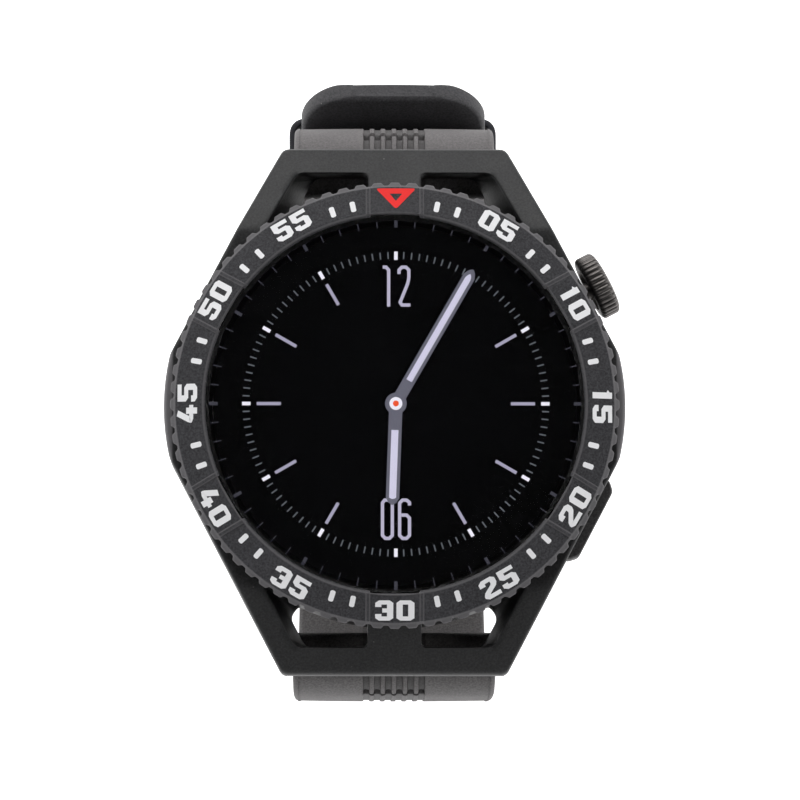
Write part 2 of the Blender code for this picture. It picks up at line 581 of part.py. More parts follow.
def keeper(name, centre, run, mat):
    """A loop round both layers, centred on the short strap's centreline point."""
    run = run.normalized()
    out = Vector((run.y, -run.x)) * -1
    inner_low = -(STRAP_T / 2 + KEEPER_PLAY)
    inner_high = LAYER + TAIL_T / 2 + KEEPER_PLAY
    inner_half = KEEPER_HALF - KEEPER_WALL
    local = Matrix(((1, 0, 0, 0), (0, out.x, run.x, centre.x), (0, out.y, run.y, centre.y), (0, 0, 0, 1)))
    low, high, half = inner_low - KEEPER_WALL, inner_high + KEEPER_WALL, KEEPER_HALF
    corner = 1.2
    ring = [(half, low + corner), (half, high - corner), (half - corner, high), (-half + corner, high),
            (-half, high - corner), (-half, low + corner), (-half + corner, low), (half - corner, low)]
    loop = extruded(name, ring, -KEEPER_LENGTH / 2, KEEPER_LENGTH / 2, mat, local)
    hollow = [(inner_half, inner_low), (inner_half, inner_high), (-inner_half, inner_high),
              (-inner_half, inner_low)]
    cut(loop, extruded(f"tool_{name}_hollow", hollow, -KEEPER_LENGTH, KEEPER_LENGTH, mat, local))
    return loop


def build_spring_bar(clock, sign, mats):
    """A spring bar whose right-hand pin is drawn back by a small lever under the strap."""
    place = along_x(0, sign * BAR_Y, BAR_Z)
    turned(f"spring_bar_{clock}", [(0, -11.9), (0.5, -11.9), (0.5, -10.2), (0.75, -10.2), (0.75, 4.2),
                                   (0, 4.2)], mats["steel"], 16, place)
    pin = turned(f"quick_release_{clock}", [(0, 6.3), (0.75, 6.3), (0.75, 9.9), (0.5, 9.9), (0.5, 11.9),
                                            (0, 11.9)], mats["steel"], 16, place)
    lever = solid_disc(f"tool_lever_{clock}", 0.55, 0.0, 2.5, mats["steel"], 12,
                       place=Matrix.Translation((7.3, sign * BAR_Y, BAR_Z))
                       @ Matrix.Rotation(radians(sign * 150), 4, "X"))
    join(pin, lever)


# ---------------------------------------------------------------- assembly
def main():
    clear_scene()
    mats = {
        "case": material("case_polymer", (0.035, 0.035, 0.037), 0.62),
        "bezel": material("bezel_coat", (0.042, 0.042, 0.046), 0.5),
        "glass": material("cover_glass", (0.01, 0.01, 0.012), 0.05),
        "display": material("display", (0.005, 0.005, 0.006), 0.3),
        "gunmetal": material("gunmetal", (0.12, 0.115, 0.11), 0.3, 1.0),
        "steel": material("steel", (0.45, 0.45, 0.46), 0.35, 1.0),
        "seal": material("seal_rubber", (0.02, 0.02, 0.02), 0.8),
        "board": material("board", (0.02, 0.08, 0.05), 0.6),
        "copper": material("copper", (0.6, 0.27, 0.12), 0.4, 1.0),
        "cell": material("cell_wrap", (0.3, 0.31, 0.32), 0.45, 0.6),
        "carrier": material("carrier_plastic", (0.06, 0.06, 0.065), 0.7),
        "dark": material("module_plastic", (0.03, 0.03, 0.03), 0.6),
        "strap": material("strap_tpu", (0.075, 0.073, 0.073), 0.6),
    }
    build_case(mats["case"])
    build_rear(mats["case"], mats["glass"], mats["seal"], mats["steel"])
    build_electronics(mats)
    build_bezel(mats)
    build_crown(mats)
    build_button(mats)
    short, tail = wrap_layers()
    build_short_strap(short, mats)
    build_long_strap(tail, mats)
    build_buckle(mats)
    keeper("fixed_keeper", Vector(FIXED_KEEPER), Vector((-1, 0)), mats["strap"])
    keeper("free_keeper", Vector(FREE_KEEPER), Vector((0, -1)), mats["strap"])
    for clock, sign in (("12", 1), ("6", -1)):
        build_spring_bar(clock, sign, mats)


main()
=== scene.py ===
# %% [markdown]
# # A dive computer on its strap
# The watch is built in layers, as it is on the bench: first the tools (a camera, a way to write
# materials, a way to lay a surface), then the finishes, then each visible piece in turn. Lengths
# are in metres in the scene, so a millimetre is written as MM.

import bpy
import numpy as np
from mathutils import Matrix, Vector


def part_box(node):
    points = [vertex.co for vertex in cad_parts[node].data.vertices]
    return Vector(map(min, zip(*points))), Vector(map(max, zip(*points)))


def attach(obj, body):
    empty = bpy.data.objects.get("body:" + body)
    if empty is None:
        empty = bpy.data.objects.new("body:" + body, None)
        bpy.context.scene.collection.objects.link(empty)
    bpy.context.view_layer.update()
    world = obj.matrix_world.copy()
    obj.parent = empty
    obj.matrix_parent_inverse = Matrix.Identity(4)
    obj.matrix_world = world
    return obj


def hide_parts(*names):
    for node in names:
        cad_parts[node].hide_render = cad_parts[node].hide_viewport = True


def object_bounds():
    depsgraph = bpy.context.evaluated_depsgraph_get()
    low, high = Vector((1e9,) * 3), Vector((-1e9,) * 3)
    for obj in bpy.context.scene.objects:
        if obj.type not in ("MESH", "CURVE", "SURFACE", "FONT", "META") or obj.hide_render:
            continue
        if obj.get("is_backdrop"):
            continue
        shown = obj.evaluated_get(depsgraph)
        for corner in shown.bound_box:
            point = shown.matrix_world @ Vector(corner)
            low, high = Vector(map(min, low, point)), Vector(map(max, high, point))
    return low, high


MM = 0.001
TAU = 2 * np.pi
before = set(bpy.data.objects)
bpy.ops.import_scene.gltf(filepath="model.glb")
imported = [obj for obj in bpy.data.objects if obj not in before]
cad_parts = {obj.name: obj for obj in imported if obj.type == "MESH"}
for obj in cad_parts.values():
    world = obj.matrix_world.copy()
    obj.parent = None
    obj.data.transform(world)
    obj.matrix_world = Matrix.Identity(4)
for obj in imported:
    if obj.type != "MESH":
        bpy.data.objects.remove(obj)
cad_box = [list(map(float, corner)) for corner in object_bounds()]

# %% [markdown]
# ## Heights that the pieces share
# The heights of glass, display and bezel are read from nodes of the frame, so these pieces stay in
# place if it is changed. The case's own are counted from the rear cover, above the sensor's face.

# %% Heights and radii, in millimetres
def node_low_high(node):
    """The lowest and highest corner of a node of the frame."""
    low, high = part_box(node)
    return np.array(low) / MM, np.array(high) / MM


BACK = 1.2                                          # rear cover above the sensor's face
GLASS_TOP = node_low_high("cover_glass")[1][2]
PANEL_TOP = node_low_high("display_panel")[1][2]
BEZEL_LOW, BEZEL_HIGH = (corner[2] for corner in node_low_high("bezel_ring"))
CASE_TOP = BACK + 8.2
KEY_Z, KEY_ANGLE = BACK + 4.6, np.radians(27.7)     # crown and button: height, angle from 3 o'clock
CORE_R, FLANK = 22.2, 22.8                          # wall under the bezel; outside of a lug arm
SLOPE_START, LUG_Y, LUG_TIP = 18.3, 27.2, BACK + 4.4
SLOPE = (CASE_TOP - LUG_TIP) / (LUG_Y - SLOPE_START)
print(f"glass {GLASS_TOP:.2f}, display {PANEL_TOP:.2f}, bezel {BEZEL_LOW:.2f} to {BEZEL_HIGH:.2f}")

# %% [markdown]
# ## The camera
# A long lens from half a metre shows the dial almost flat. The camera leans 6.8 degrees towards 6
# o'clock, so the lower strap drops away and the tail shows behind the top lugs. A matrix could be
# typed in by hand; three directions worked out from two angles are easier to read and to change.

# %% Camera
TILT, TURN = np.radians(6.8), np.radians(-0.5)
DISTANCE, VIEW_WIDTH, SENSOR_WIDTH = 500.0, 81.2, 36
AIM_RIGHT, AIM_UP = 0.52, 0.36


def place_camera():
    """The view axis is the dial's axis leant by two angles; up is 12 o'clock made square to it."""
    back = Vector((np.sin(TURN), -np.sin(TILT), np.cos(TILT))).normalized()
    up = (Vector((0, 1, 0)) - back * back.y).normalized()
    target = Vector((AIM_RIGHT, 0, GLASS_TOP)) + up * AIM_UP
    camera = bpy.data.objects.new("camera", bpy.data.cameras.new("camera"))
    camera.data.lens = SENSOR_WIDTH * DISTANCE / VIEW_WIDTH
    camera.data.clip_start = 0.01
    camera.location = (target + back * DISTANCE) * MM
    camera.rotation_euler = Matrix((up.cross(back), up, back)).transposed().to_euler()
    bpy.context.scene.collection.objects.link(camera)
    bpy.context.scene.camera = camera
    print(f"lens {camera.data.lens:.0f} mm")


place_camera()

# %% [markdown]
# ## Sums on sockets
# A shader works out a number at every place of a surface. `Value` wraps the socket that gives such
# a number, so that a sum of two of them is written as a sum and adds the Math node by itself.

# %% Values
class Value:
    """A shader value: arithmetic on it adds Math nodes to its graph."""

    def __init__(self, graph, socket):
        self.graph, self.socket = graph, socket

    def __add__(self, other):
        return self.graph.math("ADD", self, other)

    def __sub__(self, other):
        return self.graph.math("SUBTRACT", self, other)

    def __rsub__(self, other):
        return self.graph.math("SUBTRACT", other, self)

    def __mul__(self, other):
        return self.graph.math("MULTIPLY", self, other)

    __radd__, __rmul__ = __add__, __mul__


# %% [markdown]
# ## Writing a material
# A finish is a small graph of nodes on the Principled shader. `Graph.node` makes any node from its
# type, its settings and what feeds it. The nodes could be drawn by hand in the editor, but a
# finish in words can be read, changed by one number and shared between pieces.

# %% Graphs and finishes
class Graph:
    """The nodes of a material or of the world."""

    def __init__(self, owner):
        owner.use_nodes = True
        self.tree = owner.node_tree

    def feed(self, socket, value):
        if isinstance(value, Value):
            self.tree.links.new(value.socket, socket)
        else:
            socket.default_value = value

    def node(self, kind, settings=None, inputs=None, output=0):
        """Settings come first, then values and links; the result is one of the node's outputs."""
        made = self.tree.nodes.new(kind)
        for key, value in (settings or {}).items():
            if key == "stops":
                self.set_stops(made.color_ramp, value)
            else:
                setattr(made, key, value)
        for key, value in (inputs or {}).items():
            self.feed(made.inputs[key], value)
        return Value(self, made.outputs[output])

    @staticmethod
    def set_stops(ramp, stops):
        """Each stop is a position and a grey, or a position and a colour."""
        while len(ramp.elements) < len(stops):
            ramp.elements.new(0.5)
        for element, (position, grey) in zip(ramp.elements, stops):
            element.position = position
            element.color = (*grey, 1) if isinstance(grey, tuple) else (grey, grey, grey, 1)

    def math(self, operation, a, b=0.0):
        return self.node("ShaderNodeMath", {"operation": operation}, {0: a, 1: b})

    def steps(self, value, stops):
        """A ramp: straight lines between the stops."""
        return self.node("ShaderNodeValToRGB", {"stops": stops}, {"Fac": value})


class Finish(Graph):
    """A material in the making, on the Principled shader."""

    def __init__(self, name, colour, roughness, metallic=0.0, **fixed):
        self.material = bpy.data.materials.new(name)
        super().__init__(self.material)
        self.shader = self.tree.nodes["Principled BSDF"]
        self.set("Base Color", (*colour, 1))
        self.set("Roughness", roughness)
        self.set("Metallic", metallic)
        for key, value in fixed.items():
            self.set(key.replace("_", " "), value)

    def set(self, socket, value):
        self.feed(self.shader.inputs[socket], value)
        return self

    def place(self):
        """The point on the surface, in the object's own metres: the fourth output of its node."""
        return self.node("ShaderNodeTexCoord", output=3)

    def axis(self, k):
        """One coordinate of the place, in metres."""
        return self.node("ShaderNodeSeparateXYZ", inputs={0: self.place()}, output=k)

    def stretched(self, scale):
        return self.node("ShaderNodeMapping", inputs={"Vector": self.place(), "Scale": scale})

    def noise(self, per_mm, detail=3.0, roughness=0.55, vector=None):
        inputs = {"Vector": vector or self.place(), "Scale": per_mm / MM, "Detail": detail,
                  "Roughness": roughness}
        return self.node("ShaderNodeTexNoise", inputs=inputs)

    def mixed(self, factor, a, b):
        """Colour a where the factor is 0, colour b where it is 1."""
        return self.node("ShaderNodeMix", {"data_type": "RGBA"}, {0: factor, 6: a, 7: b}, 2)

    def bumped(self, height, depth_mm):
        inputs = {"Height": height, "Distance": depth_mm * MM, "Strength": 1.0}
        return self.set("Normal", self.node("ShaderNodeBump", inputs=inputs))


# %% [markdown]
# ## Light
# Black plastic is drawn by what it reflects. The sky is dark straight above, so that the glass
# stays black, and pale at the sides. One large soft panel stands behind 12 o'clock, a weaker one
# on each side and the weakest in front. A ready-made sky image would do the same with less
# control.

# %% Sky and lamps
SKY_GREYS = ((0.0, 0.95), (0.22, 0.42), (0.55, 0.19), (0.93, 0.010))
BLUER = 1.03
PANELS = {                       # place, size and power; each panel faces the dial
    "key_panel": ((-0.05, 0.50, 0.42), (0.60, 0.40), 3.0),
    "left_panel": ((-0.55, 0.05, 0.25), (0.30, 0.50), 1.1),
    "right_panel": ((0.55, 0.00, 0.30), (0.30, 0.50), 1.1),
    "front_panel": ((0.0, -0.50, 0.30), (0.50, 0.25), 0.5),
}


def sky():
    """Each direction's grey depends on how high it points: 0 is level, 1 straight up."""
    world = bpy.data.worlds.new("studio")
    bpy.context.scene.world = world
    graph = Graph(world)
    facing = graph.node("ShaderNodeTexCoord")
    height = graph.node("ShaderNodeSeparateXYZ", inputs={0: facing}, output=2)
    background = graph.tree.nodes["Background"]
    graph.feed(background.inputs["Color"],
               graph.steps(height, [(z, (grey, grey, grey * BLUER)) for z, grey in SKY_GREYS]))
    graph.feed(background.inputs["Strength"], 1.0)


def soft_panel(name, place, size, power):
    """A rectangular lamp that looks from its place at the origin."""
    lamp = bpy.data.lights.new(name, "AREA")
    lamp.shape = "RECTANGLE"
    lamp.size, lamp.size_y = size
    lamp.energy = power
    panel = bpy.data.objects.new(name, lamp)
    panel.location = place
    panel.rotation_euler = Vector(place).to_track_quat("Z", "Y").to_euler()
    bpy.context.scene.collection.objects.link(panel)


sky()
for name, (place, size, power) in PANELS.items():
    soft_panel(name, place, size, power)
bpy.context.scene.view_settings.view_transform = "Standard"
print("lamps:", len(PANELS))

# %% [markdown]
# ## Dust and grain
# A dark surface is never one colour: it is mottled and carries specks of dust. An image could hold
# that, but noise worked out at each place has no seams and stays sharp from near by.

# %% Mottling and specks
SPECK = (0.6, 0.58, 0.55, 1)


def tinted(colour, factor, lift=0.0):
    """The colour times a factor plus a lift, no brighter than white, with its alpha."""
    return (*(min(c * factor + lift, 1) for c in colour), 1)


def dusty(finish, colour, lift=0.35, speck_mm=2.0):
    """Slow and fine mottling between two tints, and pale specks round scattered points."""
    slow = finish.steps(finish.noise(0.12, 4.0), [(0.3, 0.0), (0.7, 1.0)])
    fine = finish.steps(finish.noise(4.5, 3.0, 0.7), [(0.34, 0.0), (0.66, 1.0)])
    dark, pale = tinted(colour, 0.52), tinted(colour, 1.48, 0.003)
    body = finish.mixed(slow * 0.25 + fine * 0.75, dark, pale)
    scatter = {"Vector": finish.place(), "Scale": 1 / (speck_mm * MM)}
    reach = finish.node("ShaderNodeTexVoronoi", inputs=scatter)
    specks = finish.steps(reach, [(0.022, 1.0), (0.05, 0.0)])
    return finish.mixed(specks * lift, body, SPECK)


# %% [markdown]
# ## Wear, painted highlights and painted shade on the dark parts
# The lobes and rims of the bezel are painted paler, partly wear and partly a painted edge highlight;
# the flanks beside it get a painted highlight, and the inner walls of the lug windows a painted
# shade. Each is a mask from 0 to 1, made from the place alone: a ramp takes values from 0 to 1
# only, so a length is first multiplied down.

# %% Wear, highlight and shade masks
# Pale grey of wear and painted highlight; black of the painted shade in the lug windows.
WEAR_AND_HIGHLIGHT_GREY, WINDOW_SHADE_BLACK = (0.135, 0.131, 0.136, 1), (0.002, 0.002, 0.002, 1)
FACET_TURN = 60                                     # degrees from one raised facet to the next


def bezel_wear_and_highlight(finish):
    """Wear and painted edge highlight: the lobes and the inner rim are painted paler most, and so are
    the edges of the six raised facets.
    """
    x, y = (finish.axis(k) * (1 / MM) for k in (0, 1))
    radius = finish.math("SQRT", x * x + y * y)
    rims = finish.steps(radius * 0.04, [(0.7725, 0.0), (0.7755, 0.5), (0.7815, 0.55), (0.7845, 0.0),
                                        (0.8915, 0.0), (0.8945, 0.8), (0.905, 0.75)])
    turn = finish.math("ARCTAN2", x, y) + np.radians(FACET_TURN / 2)
    local = finish.math("FLOORED_MODULO", turn, np.radians(FACET_TURN)) - np.radians(FACET_TURN / 2)
    offset = finish.math("ABSOLUTE", finish.math("SINE", local) * radius)
    edges = finish.steps(offset * 0.25, [(0.615, 0.0), (0.628, 0.55), (0.648, 0.55), (0.66, 0.12),
                                         (0.708, 0.12), (0.72, 0.5), (0.738, 0.5), (0.75, 0.0)])
    return finish.math("MAXIMUM", rims, edges)


def flank_highlight(finish):
    """A painted highlight: the upper rim of the two flanks beside the bezel is painted paler."""
    x, z = (finish.axis(k) * (1 / MM) for k in (0, 2))
    beside = finish.steps(finish.math("ABSOLUTE", x) * 0.04,
                          [(0.902, 0.0), (0.909, 1.0), (0.95, 1.0)])
    return beside * finish.steps((z - (CASE_TOP - 2.0)) * 0.5, [(0.2, 0.0), (0.85, 1.0)])


def window_shade(finish):
    """Painted shade: 1 on the inner walls of the lug windows, below the top, inside the arms and the
    lug ends.
    """
    x, y, z = (finish.axis(k) * (1 / MM) for k in range(3))
    x, y = finish.math("ABSOLUTE", x), finish.math("ABSOLUTE", y)
    top = CASE_TOP - finish.math("MAXIMUM", y - SLOPE_START, 0.0) * SLOPE
    below = finish.steps((top - z) * 0.25, [(0.06, 0.0), (0.16, 1.0)])
    reach = x * np.cos(KEY_ANGLE) + y * np.sin(KEY_ANGLE)
    inside = finish.steps(reach * 0.04, [(0.85, 1.0), (0.86, 0.0)])
    between = finish.steps(y * 0.03, [(0.36, 0.0), (0.42, 1.0), (0.75, 1.0), (0.76, 0.0)])
    return below * inside * between


# %% [markdown]
# ## Moulded and coated finishes
# The case is a fibre-filled polymer with a fine spark texture. The bezel has a satin coat: it is a
# little greyer, and its gloss varies in patches too faint to see as marks. Both carry a trace of
# dust.

# %% Dark finishes
def moulded(name, colour, roughness, grain_per_mm=3.2, depth=0.02, wear_highlight_mask=None):
    """Spark texture in gloss and bump. An optional mask, 0 to 1, paints places paler, a painted
    highlight; with it, the inner walls of the lug windows get a painted shade.
    """
    finish = Finish(name, colour, roughness, Specular_IOR_Level=0.28)
    body = dusty(finish, colour, 0.25)
    if wear_highlight_mask:
        # Painted highlight: the masked places are painted paler.
        body = finish.mixed(wear_highlight_mask(finish), body, WEAR_AND_HIGHLIGHT_GREY)
        # Painted shade on the inner walls of the lug windows.
        body = finish.mixed(window_shade(finish) * 0.75, body, WINDOW_SHADE_BLACK)
    finish.set("Base Color", body)
    grain = finish.noise(grain_per_mm, 4.0, 0.6)
    finish.set("Roughness", finish.noise(0.3, 3.0) * 0.12 + grain * 0.1 + (roughness - 0.11))
    finish.bumped(grain, depth)
    return finish.material


def coated(name, colour, roughness, wear_highlight_mask=None):
    """Satin coat. An optional mask, 0 to 1, paints the coat paler at each place: wear and painted
    highlight.
    """
    finish = Finish(name, colour, roughness, Specular_IOR_Level=0.13)
    body = dusty(finish, colour)
    if wear_highlight_mask:
        # Wear and painted highlight: the masked places are painted paler.
        body = finish.mixed(wear_highlight_mask(finish), body, WEAR_AND_HIGHLIGHT_GREY)
    finish.set("Base Color", body)
    finish.set("Roughness", finish.noise(0.25, 3.0) * 0.14 + (roughness - 0.07))
    finish.bumped(finish.noise(4.0, 4.0, 0.65), 0.008)
    return finish.material


# The flanks' upper rims get a painted highlight, and the lug windows a painted shade.
case_finish = moulded("case_polymer", (0.019, 0.019, 0.0195), 0.47, wear_highlight_mask=flank_highlight)
rear_finish = moulded("rear_polymer", (0.018, 0.018, 0.019), 0.42, 5.0, 0.006)
# The bezel's lobes, rims and facet edges are painted paler: wear and painted highlight.
bezel_finish = coated("bezel_coat", (0.044, 0.0435, 0.047), 0.56, bezel_wear_and_highlight)
key_finish = coated("key_coat", (0.062, 0.060, 0.060), 0.5)
carrier_finish = moulded("carrier_plastic", (0.05, 0.05, 0.055), 0.6)
module_finish = moulded("module_plastic", (0.025, 0.025, 0.025), 0.5)
print("dark finishes:", len(bpy.data.materials))

# %% [markdown]
# ## Rubber
# The strap is matt rubber that shows dust. Beside 12 o'clock, where the light falls on it, it gets a
# painted highlight; its tail is painted darker, a painted shade, and so are the bottoms of the rib
# grooves.

# %% Rubber finishes
RIB_PITCH = 1.15
# Grey of the painted highlight beside 12 o'clock; grey of the painted shade in the rib grooves.
STRAP_HIGHLIGHT_GREY, RIB_SHADE_GREY = (0.3, 0.28, 0.285, 1), (0.02, 0.019, 0.019, 1)


def strap_rubber(name, colour, roughness, shade_colour=None, highlight_strength=0.0):
    """Matt rubber. Beside 12 o'clock the stretch is painted paler by the given strength, a painted
    highlight; towards 12 o'clock the colour passes into the given darker colour, a painted shade on
    the tail. The bottoms of the rib grooves get a painted shade: a groove's bottom is where the place
    across the strap, folded back at every half pitch, comes near its limit."""
    finish = Finish(name, colour, roughness, Specular_IOR_Level=0.28)
    y = finish.axis(1) * (0.02 / MM)
    rubber_colour = dusty(finish, colour, 0.4, 1.6)
    if highlight_strength:
        # Painted highlight: the stretch beside 12 o'clock is painted paler.
        lit_stretch = finish.steps(y, [(0.5, 0.0), (0.53, 1.0)])
        rubber_colour = finish.mixed(lit_stretch * highlight_strength, rubber_colour, STRAP_HIGHLIGHT_GREY)
        # Painted shade: the bottoms of the rib grooves are painted darker.
        x = finish.axis(0)
        phase = finish.math("PINGPONG", x * (1 / (RIB_PITCH * MM)), 0.5)
        rib_shade = finish.steps(phase * 2.0, [(0.4, 0.0), (0.47, 1.0)])
        within = finish.steps(finish.math("ABSOLUTE", x) * (0.25 / MM), [(0.80, 1.0), (0.815, 0.0)])
        rubber_colour = finish.mixed(rib_shade * within * 0.45, rubber_colour, RIB_SHADE_GREY)
    if shade_colour:
        # Painted shade: the tail is painted darker towards 12 o'clock.
        tail_shade = finish.steps(y, [(0.15, 0.0), (0.55, 1.0)])
        rubber_colour = finish.mixed(tail_shade, rubber_colour, dusty(finish, shade_colour, 0.25))
    finish.set("Base Color", rubber_colour)
    finish.set("Roughness", finish.noise(0.4, 4.0) * 0.15 + (roughness - 0.07))
    finish.bumped(finish.noise(3.5, 5.0, 0.7), 0.014)
    return finish.material


STRAP_GREY = (0.088, 0.083, 0.083)
# Painted highlight beside 12 o'clock and painted shade in the rib grooves.
strap_finish = strap_rubber("strap_rubber", STRAP_GREY, 0.66, highlight_strength=0.15)
# The tail also gets a painted shade, darker towards 12 o'clock.
tail_finish = strap_rubber("tail_rubber", STRAP_GREY, 0.66, (0.050, 0.049, 0.052), 0.01)
seal_finish = strap_rubber("seal_rubber", (0.02, 0.02, 0.02), 0.6)
keeper_finish = strap_rubber("keeper_rubber", (0.025, 0.025, 0.03), 0.55)

# %% [markdown]
# ## Metal, print and glass
# The crown is dark plated steel with drawn scratches round its edge. Print is thick matt ink. The
# glass is real glass, so that it mirrors and bends light as the watch's does.

# %% Metal, print and glass finishes
def brushed(name, colour, roughness, scale=(60.0, 2.0, 2.0), metallic=1.0):
    """Steel whose fine lines run across the direction with the large scale."""
    finish = Finish(name, colour, roughness, metallic)
    lines = finish.noise(0.35, 4.0, 0.7, finish.stretched(scale))
    finish.set("Base Color", finish.mixed(lines, tinted(colour, 0.75), tinted(colour, 1.3)))
    finish.set("Roughness", lines * 0.18 + (roughness - 0.08))
    finish.bumped(lines, 0.002)
    return finish.material


def printed(name, colour):
    """Ink whose colour and height vary a little."""
    finish = Finish(name, colour, 0.55, Specular_IOR_Level=0.25)
    uneven = finish.noise(1.2, 4.0)
    finish.set("Base Color", finish.mixed(uneven, tinted(colour, 0.93), tinted(colour, 1.03)))
    finish.bumped(finish.noise(12.0, 3.0), 0.003)
    return finish.material


def clear_glass():
    """Glass with a faint film of finger grease in its gloss."""
    finish = Finish("cover_glass", (1, 1, 1), 0.02, IOR=1.45, Transmission_Weight=1.0)
    finish.set("Roughness", finish.noise(0.09, 4.0) * 0.03 + 0.005)
    return finish.material


gunmetal_finish = brushed("gunmetal", (0.105, 0.098, 0.094), 0.34)
steel_finish = brushed("steel", (0.5, 0.5, 0.51), 0.3)
cell_finish = brushed("cell_wrap", (0.35, 0.36, 0.38), 0.4, (3.0, 3.0, 50.0), 0.7)
print_finish = printed("white_print", (0.88, 0.88, 0.89))
red_finish = printed("red_print", (0.88, 0.02, 0.018))
glass_finish = clear_glass()

# %% [markdown]
# ## Display and electronics
# The display glows, so its marks are emission with almost no surface colour. The inner parts get
# patterns that such parts have: tracks on a board, rings of wire in a coil.

# %% Display and board finishes
def glowing(name, colour):
    """A lit mark on the display: its glow varies a little, as a real panel's does."""
    finish = Finish(name, (0.01, 0.01, 0.01), 0.4)
    flicker = finish.noise(0.8, 2.0)
    finish.set("Emission Color", finish.mixed(flicker, tinted(colour, 0.93), tinted(colour, 1.0)))
    finish.set("Emission Strength", 1.0)
    return finish.material


def display_black():
    """The unlit panel: black, with a gloss that varies slowly."""
    finish = Finish("display_panel", (0.0042, 0.0042, 0.005), 0.25, Specular_IOR_Level=0.1)
    finish.set("Roughness", finish.noise(0.5, 3.0) * 0.1 + 0.2)
    return finish.material


def circuit():
    """Solder mask with copper tracks under it: stripes of a brick pattern, slightly raised."""
    finish = Finish("board", (0.01, 0.06, 0.03), 0.45)
    bricks = {"Vector": finish.place(), "Scale": 900.0, "Mortar Size": 0.04}
    tracks = finish.node("ShaderNodeTexBrick", inputs=bricks, output=1)
    finish.set("Base Color", finish.mixed(tracks, (0.01, 0.07, 0.035, 1), (0.03, 0.16, 0.06, 1)))
    finish.bumped(tracks, 0.02)
    return finish.material


def coil_copper():
    """Rings about the dial's axis, one for each turn of wire."""
    finish = Finish("coil_copper", (0.6, 0.25, 0.1), 0.35, 1.0)
    rings = finish.node("ShaderNodeTexWave", {"wave_type": "RINGS", "rings_direction": "Z"},
                        {"Vector": finish.place(), "Scale": 1100.0})
    finish.set("Base Color", finish.mixed(rings, (0.35, 0.13, 0.05, 1), (0.72, 0.33, 0.14, 1)))
    finish.bumped(rings, 0.05)
    return finish.material


panel_finish, board_finish, coil_finish = display_black(), circuit(), coil_copper()
bar_glow = glowing("bar_glow", (0.40, 0.38, 0.51))
number_glow = glowing("number_glow", (0.51, 0.485, 0.63))
hand_light_glow = glowing("hand_light_glow", (0.68, 0.66, 0.83))
white_glow = glowing("white_glow", (0.92, 0.90, 1.0))
blue_grey_glow = glowing("blue_grey_glow", (0.12, 0.135, 0.155))
rim_glow = glowing("rim_glow", (0.045, 0.045, 0.06))
hand_glow = glowing("hand_glow", (0.13, 0.13, 0.17))
red_glow = glowing("red_glow", (0.9, 0.09, 0.02))
print("finishes:", len(bpy.data.materials))

# %% [markdown]
# ## The floor
# A white board far larger than the watch. It glows a little, so that it reads as white and lights
# the strap through the lug windows.

# %% Floor
FLOOR_HALF, FLOOR_GAP = 1.5, 0.0002      # metres


def floor():
    """One square, a hair below the lowest point of the frame."""
    finish = Finish("floor", (0.9, 0.9, 0.9), 0.8)
    finish.set("Base Color", finish.mixed(finish.noise(0.002, 2.0), (0.9, 0.9, 0.9, 1),
                                          (0.92, 0.92, 0.92, 1)))
    finish.set("Emission Color", (1, 1, 1, 1)).set("Emission Strength", 1.0)
    low = cad_box[0][2] - FLOOR_GAP
    corners = [(x * FLOOR_HALF, y * FLOOR_HALF, low) for x, y in ((-1, -1), (1, -1), (1, 1), (-1, 1))]
    mesh = bpy.data.meshes.new("floor")
    mesh.from_pydata(corners, [], [(0, 1, 2, 3)])
    mesh.materials.append(finish.material)
    board = bpy.data.objects.new("floor", mesh)
    bpy.context.scene.collection.objects.link(board)
    board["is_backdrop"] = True
    print(f"floor at {low / MM:.2f} mm")


floor()

# %% [markdown]
# ## Laying a surface
# A surface is a grid of points worked out by numpy as whole arrays, in millimetres. `skin` joins
# the grid, closes it on itself where the shape does, caps its ends, and returns an object in
# metres. A cube or a cylinder could be pushed into shape instead, but a formula keeps every edge
# where it is.

# %% Surface tools
def soften(piece, angle=38):
    """Smooth shading, with a hard edge wherever two faces meet at more than the angle."""
    piece.data.shade_smooth()
    piece.data.set_sharp_from_angle(angle=np.radians(angle))
    return piece


def tell(piece):
    print(piece.name, len(piece.data.polygons), "faces")


def link_piece(name, points, faces, finish, sharp=35):
    """An object in metres from points in millimetres."""
    mesh = bpy.data.meshes.new(name)
    mesh.from_pydata((np.asarray(points) * MM).tolist(), [], faces)
    mesh.validate()
    mesh.materials.append(finish)
    piece = soften(bpy.data.objects.new(name, mesh), sharp)
    bpy.context.scene.collection.objects.link(piece)
    return piece


def outward(piece):
    """Turns the faces out if the volume they enclose comes out negative: the sum over all triangles
    of a . (b x c)."""
    mesh = piece.data
    mesh.calc_loop_triangles()
    corners = np.empty(len(mesh.loop_triangles) * 3, int)
    mesh.loop_triangles.foreach_get("vertices", corners)
    points = np.empty(len(mesh.vertices) * 3)
    mesh.vertices.foreach_get("co", points)
    a, b, c = points.reshape(-1, 3)[corners.reshape(-1, 3).T]
    if np.einsum("ij,ij->", a, np.cross(b, c)) < 0:
        mesh.flip_normals()
    return piece


def grid_faces(nu, nv, wrap_u, wrap_v):
    """Quads of a grid of nu rows and nv columns; a wrapped direction joins its last to its first."""
    i = np.arange(nu if wrap_u else nu - 1)[:, None]
    j = np.arange(nv if wrap_v else nv - 1)[None, :]
    i2, j2 = (i + 1) % nu, (j + 1) % nv
    quads = np.stack(np.broadcast_arrays(i * nv + j, i * nv + j2, i2 * nv + j2, i2 * nv + j), -1)
    return quads.reshape(-1, 4).tolist()


